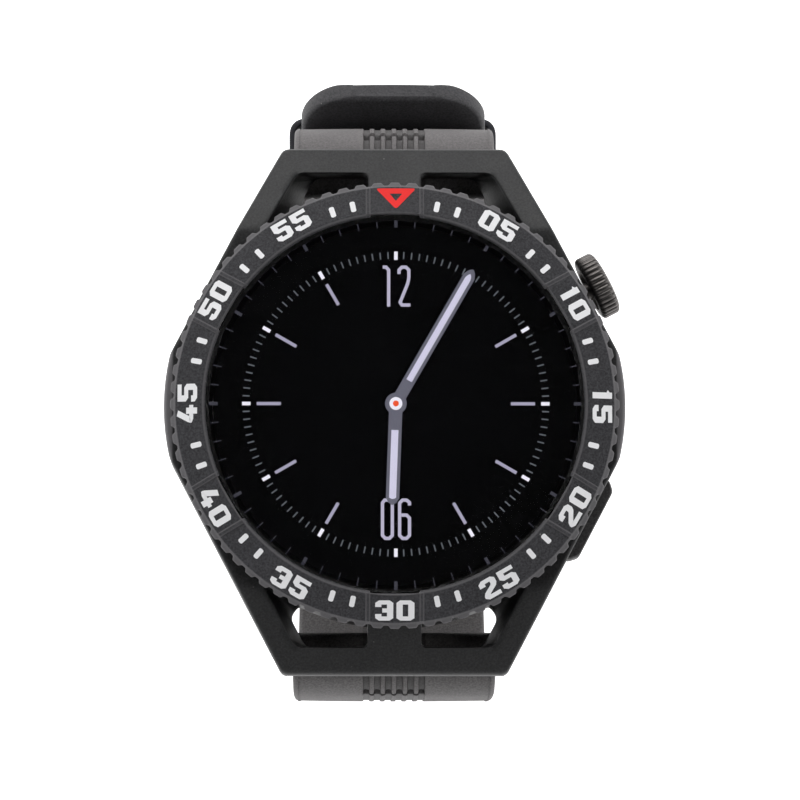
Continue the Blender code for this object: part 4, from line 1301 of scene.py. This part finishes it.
def build_crown():
    """Neck, rim, chamfer, ring round the face, face, and the socket of the shaft behind."""
    ring = [(2.3, 23.45), (2.95, 23.45), (3.25, 23.57), (3.4, 23.8), (3.4, 24.4), (3.4, 25.05),
            (3.27, 25.32), (3.0, 25.47), (2.7, 25.55), (2.5, 25.54), (2.38, 25.4), (2.2, 25.36),
            (1.2, 25.39), (0.01, 25.41), (0.01, 24.55), (1.15, 24.55), (1.15, 23.85), (2.2, 23.85)]
    return turned("crown_fluted", ring, gunmetal_finish, FLUTES * 14, key_matrix(1, CROWN_SHIFT),
                  fluted, 40)


crown = build_crown()
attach(crown, "crown")
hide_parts("crown_knob")
tell(crown)

# %% [markdown]
# ## The side button
# A long key with slanted ends, in the bezel's colour. Its outline in plan is drawn as a rounded
# polygon and then stacked from bottom to top, smaller at both ends, so every edge is eased.

# %% Side button
def build_button():
    """The outline lies in the key's X and Z; the stack rises along its Y."""
    plan = np.array([(-4.55, 21.95), (4.55, 21.95), (4.55, 22.95), (3.75, 23.75), (-3.75, 23.75),
                     (-4.55, 22.95)])
    inwards = np.sign(plan - plan.mean(0)) * [0.6, 0.5]
    rows = []
    for v, shrink in ((-1.6, 0.24), (-1.5, 0.1), (-1.3, 0.0), (1.3, 0.0), (1.5, 0.1), (1.6, 0.24)):
        loop = rounded(plan - inwards * shrink, [0.1, 0.1, 0.25, 0.4, 0.4, 0.25], 5)
        rows.append(at_height(loop, v)[:, [0, 2, 1]])
    return move_mesh(skin("side_key", np.array(rows), key_finish), key_matrix(-1, BUTTON_SHIFT))


button = build_button()
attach(button, "side_button")
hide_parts("side_button")
tell(button)

# %% [markdown]
# ## The strap
# A strap is a section carried along a path in the plane of the dial's 12 to 6 line. The path is a
# smooth curve through the same points as the frame's strap, so the looks lie exactly on the solid.
# A curve object with a bevel could carry a section too, but not one whose ribs come and go.

# %% Strap paths
def smooth_path(points, spacing):
    """Catmull-Rom curve through the points, resampled evenly: between two points it is a cubic whose
    slope at each is half the step from the one before to the one after."""
    p = np.asarray(points, float)
    p = np.vstack([2 * p[0] - p[1], p, 2 * p[-1] - p[-2]])
    t = np.linspace(0, 1, 24, endpoint=False)[None, :, None]
    a, b, c, d = (p[k:len(p) - 3 + k][:, None] for k in range(4))
    curve = 0.5 * (2 * b + (c - a) * t + (2 * a - 5 * b + 4 * c - d) * t**2
                   + (3 * b - a - 3 * c + d) * t**3)
    return dense(np.vstack([curve.reshape(-1, 2), p[-2]]), spacing, closed=False)


def path_normals(path):
    """The direction of travel at each point, turned a quarter."""
    run = np.gradient(path, axis=0)
    run /= np.linalg.norm(run, axis=1)[:, None]
    return np.stack([run[:, 1], -run[:, 0]], 1)


def path_run(path):
    """The distance travelled to each point."""
    return np.concatenate([[0], np.cumsum(np.linalg.norm(np.diff(path, axis=0), axis=1))])


def at_stations(path, run, stations):
    """The places on a path at given distances."""
    return np.stack([np.interp(stations, run, path[:, k]) for k in (0, 1)], -1)


BAR_Y, BAR_Z = 24.3, BACK + 0.4                     # the spring bars
STRAP_HALF, TAIL_HALF, STRAP_T, TAIL_T = 10.45, 9.8, 2.5, 2.2
TAIL_GAP = STRAP_T / 2 + 0.25 + TAIL_T / 2
BUCKLE_BAR = (-2.0, -36.9)
SHORT_PATH = [(BAR_Y, BAR_Z), (26.8, 1.1), (28.9, -1.3), (30.0, -5.2), (30.15, -9.8),
              (30.15, -13.8), (30.15, -18.3), (30.15, -22.3), (30.1, -25.4), (28.7, -30.4),
              (25.3, -34.6), (20.4, -37.6), (14.8, -38.7), (10.5, -38.8), (6.5, -38.8),
              (2.4, -38.6), (-1.7, -37.02)]
LONG_PATH = [(-BAR_Y, BAR_Z), (-26.2, 1), (-27.5, -1.5), (-27.9, -5.8), (-27.85, -11.8),
             (-27.4, -18.3), (-26.0, -25.3), (-23.2, -31.6), (-18.6, -36.2), (-13.2, -38.95),
             (-8.0, -40.05), (-2.6, -40.3)]
TAIL_TOP, TAIL_RISE, TAIL_FLARE = -6.6, 8.6, 2.85


def tail_path():
    """The short strap's path moved one layer outwards, leaving it near the tip."""
    short = smooth_path(SHORT_PATH, 1.0)
    outer = (short - path_normals(short) * TAIL_GAP)[::-1]
    laid = outer[(outer[:, 0] > 4.0) & (outer[:, 1] < TAIL_TOP)]
    run = path_run(laid)
    share = np.clip((run - run[-1] + TAIL_RISE) / TAIL_RISE, 0, None)
    laid[:, 0] += TAIL_FLARE * share**2
    return laid


print(f"short strap {path_run(smooth_path(SHORT_PATH, 1.0))[-1]:.0f} mm along its path")

# %% [markdown]
# The section is a rounded bar with ribs sunk in a channel down its outer face. Its points are
# crowded where the ribs are, and the whole strap is one array: stations along the path by points
# of the section. Ribs drawn as bump alone would vanish at the strap's outline.


# %% Strap section
CHANNEL, GROOVE, CORNER, RIBS_FROM = 3.25, 0.42, 0.55, 1.0


def section_x():
    """Stations across the outer face: crowded where the ribs are."""
    ribs = np.linspace(-CHANNEL - 0.1, CHANNEL + 0.1, 97)
    side = np.linspace(CHANNEL + 0.25, STRAP_HALF - CORNER, 6)
    return np.concatenate([-side[::-1], ribs, side])


def groove_depth(x, s, notch):
    """0 on a rib's crest and on the flat, 1 in a groove; a waved notch crosses the ribs at
    s = notch, and for a while past it the grooves are shallow."""
    phase = np.abs((x / RIB_PITCH + 0.5) % 1.0 - 0.5)
    groove = smooth_step(phase, 0.17, 0.25) * (np.abs(x) < CHANNEL)
    edge = smooth_step(-np.abs(x), -CHANNEL, -CHANNEL + 0.1)
    line = notch + 0.15 * np.cos(TAU * phase)
    crossing = 1 - smooth_step(np.abs(s - line), 0.2, 0.36)
    beyond = smooth_step(s, notch + 0.1, notch + 0.4) * (1 - smooth_step(s, 27.0, 28.0))
    return np.maximum(groove * (1 - 0.65 * beyond), crossing * 1.7) * edge


def strap_grid(path, half, thick, ribs_to, notch, side):
    """The section along the path: outer face, right edge, inner face, left edge. half and thick are
    arrays, one value for each station; side is the sign of the ribbed face along the normal."""
    run, normals = path_run(path), path_normals(path)
    s, h, t = run[:, None], half[:, None], thick[:, None]
    x = section_x() * (h / STRAP_HALF)
    live = smooth_step(s, RIBS_FROM, RIBS_FROM + 0.4) * (1 - smooth_step(s, ribs_to, ribs_to + 0.8))
    dip = groove_depth(x * STRAP_HALF / h, s, notch) * GROOVE * live
    swell = 0.10 * (1 - (x / h) ** 2)
    corner = np.radians(np.linspace(0, 90, 7))[1:]
    edge_x = (h - CORNER) + CORNER * np.cos(corner)
    edge_n = t / 2 - CORNER + CORNER * np.sin(corner)
    inner_x = np.linspace(half - CORNER, -half + CORNER, 12, axis=1)
    u = np.concatenate([-edge_x, x, edge_x[:, ::-1], edge_x, inner_x, -edge_x[:, ::-1]], 1)
    n = side * np.concatenate([edge_n, t / 2 + swell - 0.1 - dip, edge_n[:, ::-1],
                               -edge_n, -t / 2 + 0 * inner_x, -edge_n[:, ::-1]], 1)
    return np.stack([u, path[:, :1] + normals[:, :1] * n, path[:, 1:] + normals[:, 1:] * n], -1)


print("ribs across the channel:", int(2 * CHANNEL / RIB_PITCH))

# %% [markdown]
# Both straps end in a tube for the spring bar. The long one has a row of holes in its channel, and
# its tip is rounded in plan. The tube and the holes are joined and cut as solids.

# %% Strap tools
def cross_rod(name, half, y, z, radius, finish, ease=0.3):
    """A rod across the watch: its own Z is laid along X."""
    along_x = np.array([[0, 0, 1, 0], [1, 0, 0, y], [0, 1, 0, z], [0, 0, 0, 1.0]])
    return move_mesh(turned_rod(name, radius, -half, half, finish, 48, ease), along_x)
    return move_mesh(turned_rod(name, radius, -half, half, finish, 48, ease), along_x(y, z))


def hole_tool(point, ahead):
    """A rounded slot that flares towards both faces; `ahead` is the strap's direction there."""
    loop = rounded(np.array([(1.45, -2.5), (1.45, 2.5), (-1.45, 2.5), (-1.45, -2.5)]), 1.4, 10)
    flare = ((-2, 1.25), (-1.3, 1.08), (-1.0, 1.0), (1.0, 1.0), (1.3, 1.08), (2, 1.25))
    rows = np.array([at_height(loop * grow, z) for z, grow in flare])
    matrix = np.eye(4)
    matrix[:3, :3] = [[1, 0, 0], [0, ahead[0], ahead[1]], [0, ahead[1], -ahead[0]]]
    matrix[:3, 3] = [0, *point]
    return move_mesh(skin("hole_tool", rows, strap_finish), matrix)


def lever_slot(y0, y1):
    """Room for the lever of the spring bar's pin."""
    return block("lever_slot", (4.6, y0, BAR_Z - 3), (8.6, y1, BAR_Z + 0.2), strap_finish, 0.2)


NEAR_STATIONS = np.arange(0, 8.0, 0.12)      # close together, where the notch crosses the ribs
KNUCKLE_HALF, KNUCKLE_R, BORE_R = 10.53, 1.7, 1.05
EYE_HALF, EYE_R, EYE_BORE_R = 9.9, 1.83, 1.0
TIP, HOLES, HOLE_STEP, TONGUE_Y = 6.2, 9, 6.5, -6.6

# %% [markdown]
# The short strap runs from 12 o'clock to the buckle's bar. Behind the lugs it is a little thicker,
# and then thinner for a while.

# %% Short strap
def build_short_strap():
    """The sheet, then the tubes at both ends, then their bores and the gap for the tongue."""
    path = smooth_path(SHORT_PATH, 0.45)
    run = path_run(path)
    stations = np.concatenate([NEAR_STATIONS, run[run > NEAR_STATIONS[-1] + 0.2]])
    half = STRAP_HALF - 0.3 * stations / stations[-1]
    thick = (STRAP_T + 0.2 * np.clip(1 - stations / 12, 0, 1)
             - 0.25 * np.exp(-((stations - 9) / 4) ** 2))
    grid = strap_grid(at_stations(path, run, stations), half, thick, 26.0, 5.1, -1)
    strap = skin("strap_12", grid, strap_finish)
    cut_from(strap, [cross_rod("knuckle", KNUCKLE_HALF, BAR_Y, BAR_Z, KNUCKLE_R, strap_finish),
                     cross_rod("eye", EYE_HALF, *BUCKLE_BAR, EYE_R, strap_finish)], "UNION")
    return cut_from(strap, [cross_rod("bore", 14, BAR_Y, BAR_Z, BORE_R, strap_finish, 0),
                            cross_rod("bore", 14, *BUCKLE_BAR, EYE_BORE_R, strap_finish, 0),
                            block("notch", (-1.7, -6, -41), (1.7, 0.13, -33), strap_finish, 0.2),
                            lever_slot(BAR_Y - 3.2, BAR_Y + 0.8)])


# %% [markdown]
# The long strap runs from 6 o'clock round under the wrist and up outside the short one. Its holes
# are counted from the one that the tongue stands in.

# %% Long strap
def tip_plan(left):
    """Share of the full width near the tip: a flattened quarter circle over the last TIP."""
    return 0.36 + 0.64 * (1 - (1 - left) ** 2.4) ** 0.42


def long_holes(path, stations):
    """One tool for each hole, square to the strap."""
    before = np.max(np.nonzero(path[:, 0] < TONGUE_Y)[0])
    share = (TONGUE_Y - path[before, 0]) / (path[before + 1, 0] - path[before, 0])
    at_tongue = stations[before] + share * (stations[before + 1] - stations[before])
    s = at_tongue + (np.arange(HOLES) - 1) * HOLE_STEP
    points = at_stations(path, stations, s)
    ahead = at_stations(path, stations, s + 0.5) - points
    return [hole_tool(point, way / np.linalg.norm(way)) for point, way in zip(points, ahead)]


def build_long_strap():
    """Stations stand close near the notch and near the tip, where the outline turns fast."""
    laid = tail_path()
    path = smooth_path(np.vstack([LONG_PATH, laid[::3], laid[-1:]]), 0.45)
    run = path_run(path)
    length = run[-1]
    near_tip = length - TIP * (1 - np.linspace(0, 1, 20)) ** 2
    middle = run[(run > NEAR_STATIONS[-1] + 0.2) & (run < length - TIP - 0.3)]
    stations = np.concatenate([NEAR_STATIONS, middle, near_tip])
    path = at_stations(path, run, stations)
    plain = STRAP_HALF + (TAIL_HALF - STRAP_HALF) * stations / length
    half = plain * tip_plan(np.clip((length - stations) / TIP, 0, 1))
    edge = 0.55 + 0.45 * np.clip((length - stations) / 0.5, 0, 1) ** 0.5
    thick = (STRAP_T + (TAIL_T - STRAP_T) * np.clip(stations / 45, 0, 1)) * edge
    thick -= 0.35 * np.exp(-((stations - 17) / 9) ** 2)
    strap = skin("strap_6", strap_grid(path, half, thick, length - 4.0, 5.3, 1), tail_finish)
    cut_from(strap, [cross_rod("knuckle", KNUCKLE_HALF, -BAR_Y, BAR_Z, KNUCKLE_R, strap_finish)],
             "UNION")
    return cut_from(strap, [cross_rod("bore", 14, -BAR_Y, BAR_Z, BORE_R, strap_finish, 0),
                            lever_slot(-BAR_Y - 0.8, -BAR_Y + 3.2), *long_holes(path, stations)])


for strap, node in ((build_short_strap(), "strap_short"), (build_long_strap(), "strap_long")):
    soften(strap)
    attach(strap, "watch")
    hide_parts(node)
    tell(strap)

# %% [markdown]
# ## Keepers
# A keeper is a flat loop of the same rubber. Its wall section, a rounded bar, is carried round a
# rounded rectangle that clears both layers of strap.

# %% Keepers
KEEPER_WIDE, KEEPER_WALL, KEEPER_HALF, KEEPER_PLAY = 4.6, 0.7, 11.2, 0.25


def build_keeper(name, centre, out):
    """out is the outward direction in the YZ plane; the loop stands square to the strap's run."""
    half_wall, half_wide = KEEPER_WALL / 2, KEEPER_WIDE / 2
    low = -(STRAP_T / 2 + KEEPER_PLAY) - half_wall
    high = TAIL_GAP + TAIL_T / 2 + KEEPER_PLAY + half_wall
    x = KEEPER_HALF - half_wall
    loop = dense(rounded(np.array([(x, low), (x, high), (-x, high), (-x, low)]), 1.5, 10), 0.3)
    tangent = np.roll(loop, -1, 0) - np.roll(loop, 1, 0)
    normal = np.stack([tangent[:, 1], -tangent[:, 0]], 1)
    normal /= np.linalg.norm(normal, axis=1)[:, None]
    bar = [(half_wall, -half_wide), (half_wall, half_wide), (-half_wall, half_wide),
           (-half_wall, -half_wide)]
    section = rounded(np.array(bar), 0.3, 5)
    flat = loop[:, None] + normal[:, None] * section[None, :, :1]
    run = np.broadcast_to(section[None, :, 1], flat.shape[:2])
    out = np.asarray(out, float)
    side = np.array([-out[1], out[0]])
    yz = centre + flat[..., 1:] * out + run[..., None] * side
    return skin(name, np.concatenate([flat[..., :1], yz], 2), keeper_finish, wrap_u=True)


fixed_keeper = build_keeper("keeper_fixed", np.array([8.5, -38.8]), (0, -1))
free_keeper = build_keeper("keeper_free", np.array([30.15, -21.5]), (1, 0))
for keeper, node, body in ((fixed_keeper, "fixed_keeper", "watch"),
                           (free_keeper, "free_keeper", "free_keeper")):
    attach(keeper, body)
    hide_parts(node)
    tell(keeper)

# %% [markdown]
# ## The buckle
# The frame is a stirrup: two flat arms joined by an outer bar with a seat for the tongue. Each arm
# is a rounded outline stacked across its thickness with eased rims; the bar is a rounded section.

# %% Buckle frame
FAR_BAR = np.array([-11.6, -42.25])
ARM_IN, ARM_OUT = 10.75, 12.35


def buckle_matrix():
    """Local X runs from the buckle bar to the outer bar, local Y towards the wrist, local Z is +X."""
    reach = FAR_BAR - np.array(BUCKLE_BAR)
    run = reach / np.linalg.norm(reach)
    side = np.array([-run[1], run[0]])
    side = side if side[1] > 0 else -side
    matrix = np.eye(4)
    matrix[:3, 0], matrix[:3, 1], matrix[:3, 2] = [0, *run], [0, *side], [1, 0, 0]
    matrix[:3, 3] = [0, *BUCKLE_BAR]
    return matrix, np.linalg.norm(reach)


def stack(name, corners, radius, low, high, ease):
    """An outline between two heights, drawn in by `ease` at both rims."""
    corners = np.asarray(corners, float)
    middle = corners.mean(0)
    away = dense(rounded(corners, radius, 6), 0.25) - middle
    size = np.abs(away).max(0)
    levels = ((low, 1.0), (low + ease * 0.3, 0.3), (low + ease, 0), (high - ease, 0),
              (high - ease * 0.3, 0.3), (high, 1.0))
    rows = [at_height(middle + away * (1 - inset * ease / size), z) for z, inset in levels]
    return skin(name, np.array(rows), gunmetal_finish)


def build_frame():
    """Two arms and the outer bar joined, then the bore of the buckle bar and the tongue's seat."""
    matrix, length = buckle_matrix()
    arm = [(-1.6, -1.6), (1.2, -1.6), (length, -1.3), (length + 1.2, -1.0), (length + 1.2, 0.75),
           (length, 1.05), (1.2, 1.6), (-1.6, 1.6)]
    radius = [1.2, 1.0, 0.8, 0.6, 0.6, 0.8, 1.0, 1.2]
    stirrup = stack("buckle_stirrup", arm, radius, ARM_IN, ARM_OUT, 0.3)
    other = stack("arm", arm, radius, -ARM_OUT, -ARM_IN, 0.3)
    rail = stack("rail", [(length - 1.0, -1.2), (length + 1.05, -1.1), (length + 1.05, 0.45),
                          (length - 1.0, 0.7)], 0.6, -11.6, 11.6, 0.05)
    move_mesh(cut_from(stirrup, [other, rail], "UNION"), matrix)
    seat = block("seat", (-1.4, FAR_BAR[0] - 4, FAR_BAR[1] - 5),
                 (1.4, FAR_BAR[0] + 3, FAR_BAR[1] + 0.35), gunmetal_finish, 0.25)
    return soften(cut_from(stirrup, [cross_rod("bore", 14, *BUCKLE_BAR, 0.74, gunmetal_finish, 0),
                                     seat]))


# %% [markdown]
# The tongue is a bent pin: a rounded bar carried along a curve from an eye on the buckle bar, down
# through a hole of the tail and out to its seat on the outer bar.

# %% Buckle tongue
TONGUE_BENDS = [(-4.6, -37.25), (-6.0, -38.4), (-7.7, -40.9), (-9.0, -42.05), (-11.0, -42.8),
                (-12.9, -43.05)]


def squared(v):
    """Turns a circle's sine or cosine into that of a rounded square: the root, with its sign."""
    return np.sign(v) * np.abs(v) ** 0.5


def build_tongue():
    """Width and thickness fall slowly, and fast over the last stretch."""
    path = smooth_path([BUCKLE_BAR, *TONGUE_BENDS], 0.3)[3:]
    normals = path_normals(path)
    share = np.linspace(0, 1, len(path))
    half = 0.95 - 0.12 * share - 0.35 * smooth_step(share, 0.93, 1.0)
    thick = 0.5 - 0.18 * smooth_step(share, 0.9, 1.0)
    ring = np.linspace(0, TAU, 24, endpoint=False)
    x = half[:, None] * squared(np.cos(ring))
    n = thick[:, None] * squared(np.sin(ring))
    points = np.stack([x, path[:, :1] + normals[:, :1] * n, path[:, 1:] + normals[:, 1:] * n], -1)
    tongue = skin("buckle_pin", points, gunmetal_finish)
    cut_from(tongue, [cross_rod("eye", 1.28, *BUCKLE_BAR, 1.55, gunmetal_finish, 0.15)], "UNION")
    return soften(cut_from(tongue, [cross_rod("bore", 3, *BUCKLE_BAR, 1.0, gunmetal_finish, 0)]))


for piece, body in ((build_frame(), "buckle_frame"), (build_tongue(), "buckle_tongue")):
    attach(piece, body)
    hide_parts(body)
    tell(piece)

# %% [markdown]
# ## The back
# The rear cover is a shallow dish held by four screws, round a sensor window with a raised lens.
# Under the lens sit the sensor's light sources, which show as small pale and dark squares.

# %% Rear cover and screws
SCREW_R, SCREW_ANGLES = 20.15, np.radians((45, 135, 225, 315))


def screw_places():
    """The two level coordinates of each screw."""
    return [(SCREW_R * np.cos(angle), SCREW_R * np.sin(angle)) for angle in SCREW_ANGLES]


def build_rear_cover():
    """A spun dish, less four screw seats and a shallow ring-shaped groove."""
    profile = [(9.0, BACK), (9.2, BACK), (19.2, BACK), (20.6, BACK + 0.04), (21.15, BACK + 0.2),
               (21.4, BACK + 0.5), (21.4, BACK + 1.2), (10.2, BACK + 1.2), (10.2, BACK + 0.9),
               (9.0, BACK + 0.6)]
    cover = turned("rear_dish", profile, rear_finish, 192)
    tools = [move_mesh(turned_rod("screw_seat", 1.15, BACK - 1, BACK + 0.62, rear_finish, 32),
                       moved(x, y)) for x, y in screw_places()]
    groove = [(12.4, BACK - 1), (12.7, BACK - 1), (12.7, BACK + 0.08), (12.4, BACK + 0.08)]
    return cut_from(cover, tools + [turned("groove", groove, rear_finish, 128)])


def build_screws():
    """A pan head with a five-lobed recess: the recess's radius waves five times round."""
    profile = [(0.3, 0.1), (0.5, 0.1), (0.85, 0.12), (0.95, 0.22), (0.95, 0.5), (0.5, 0.55),
               (0.5, 4.0), (0.02, 4.05), (0.02, 0.45), (0.3, 0.45)]
    pieces = []
    for k, (x, y) in enumerate(screw_places()):
        angle, r, z = spun(profile, 60)
        r = r + (np.abs(r - 0.3) < 0.01) * 0.1 * np.cos(5 * angle)
        points = np.stack([r * np.cos(angle) + x, r * np.sin(angle) + y, z + BACK], -1)
        pieces.append(skin(f"cover_screw_{k + 1}", points, steel_finish, wrap_u=True, sharp=30))
    return pieces


# %% [markdown]
# The lens is one spun profile with a shallow dome. Its tiles are a finish, because they lie under
# it.

# %% Sensor lens

def sensor_finish():
    """Dark lens: square cells of a cell pattern, shown inside a circle about the lens's middle."""
    finish = Finish("sensor_lens", (0.01, 0.01, 0.012), 0.06, Coat_Weight=0.6)
    tiles = finish.node("ShaderNodeTexVoronoi", {"feature": "F1", "distance": "CHEBYCHEV"},
                        {"Vector": finish.place(), "Scale": 260.0, "Randomness": 0.15})
    shown = finish.steps(tiles, [(0.0, 1.0), (0.25, 0.9), (0.3, 0.0)])
    split = finish.node("ShaderNodeVectorMath", {"operation": "LENGTH"}, {0: finish.place()}, 1)
    ring = finish.steps(split * 120.0, [(0.0, 1.0), (0.55, 1.0), (0.62, 0.0)])
    finish.set("Base Color", finish.mixed(shown * ring * 0.8, (0.006, 0.006, 0.008, 1),
                                          (0.05, 0.11, 0.07, 1)))
    finish.set("Roughness", finish.noise(0.2, 3.0) * 0.08 + 0.03)
    return finish.material


def build_sensor():
    """The dome rises as a power of the share of the way from its flat to its rim."""
    s = np.linspace(0, 1, 14)[1:]
    dome = [(5.2 + 3.5 * t, BACK - 1.2 + 1.0 * t**2.2) for t in s]
    rim = [(8.7, BACK + 0.62), (9.9, BACK + 0.98), (9.9, BACK + 1.3), (0.01, BACK + 1.3)]
    profile = [(0.01, BACK - 1.2), (5.2, BACK - 1.2)] + dome + rim
    return turned("sensor_lens", profile, sensor_finish(), 160)

cover, sensor = build_rear_cover(), build_sensor()
for piece, slot, node in ((cover, "case", "rear_cover"), (sensor, "glass", "sensor_window")):
    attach(piece, "watch")
    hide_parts(node)
for k, screw in enumerate(build_screws()):
    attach(screw, "watch")
    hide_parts(f"rear_cover_screw_{k + 1}")

# %% [markdown]
# ## Finishes of the parts that stay
# The inner parts and small hardware keep the frame's own shapes, which are right as they are. Each
# gets the finish of its material, laid in the node's own slots.

# %% Finishes of the frame's own nodes
STAYING = {
    panel_finish: ["display_panel"],
    steel_finish: ["vibration_motor", "depth_sensor", "bezel_retaining_ring", "bezel_click_spring",
                   "button_stem", "spring_bar_12", "spring_bar_6", "quick_release_12",
                   "quick_release_6"],
    gunmetal_finish: ["crown_shaft", "crown_tube", "buckle_bar"],
    seal_finish: ["rear_cover_gasket", "glass_gasket", "crown_seal", "button_seal"],
    board_finish: ["sensor_board", "main_board"],
    coil_finish: ["charging_coil"],
    cell_finish: ["battery"],
    carrier_finish: ["inner_frame", "crown_plunger"],
    module_finish: ["speaker", "crown_switch", "button_switch"],
}
for finish, names in STAYING.items():
    for name in names:
        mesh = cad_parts[name].data
        mesh.materials.clear()
        mesh.materials.append(finish)
print("kept nodes:", sum(len(names) for names in STAYING.values()))

# %% [markdown]
# ## Size
# The looks must stay in the frame's box, so both boxes are written down to be compared.

# %% Size and finish
shown_box = [list(map(float, corner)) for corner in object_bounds()]
for label, box in (("cad", cad_box), ("visual", shown_box)):
    print(label, np.round(np.array(box) / MM, 2).tolist())
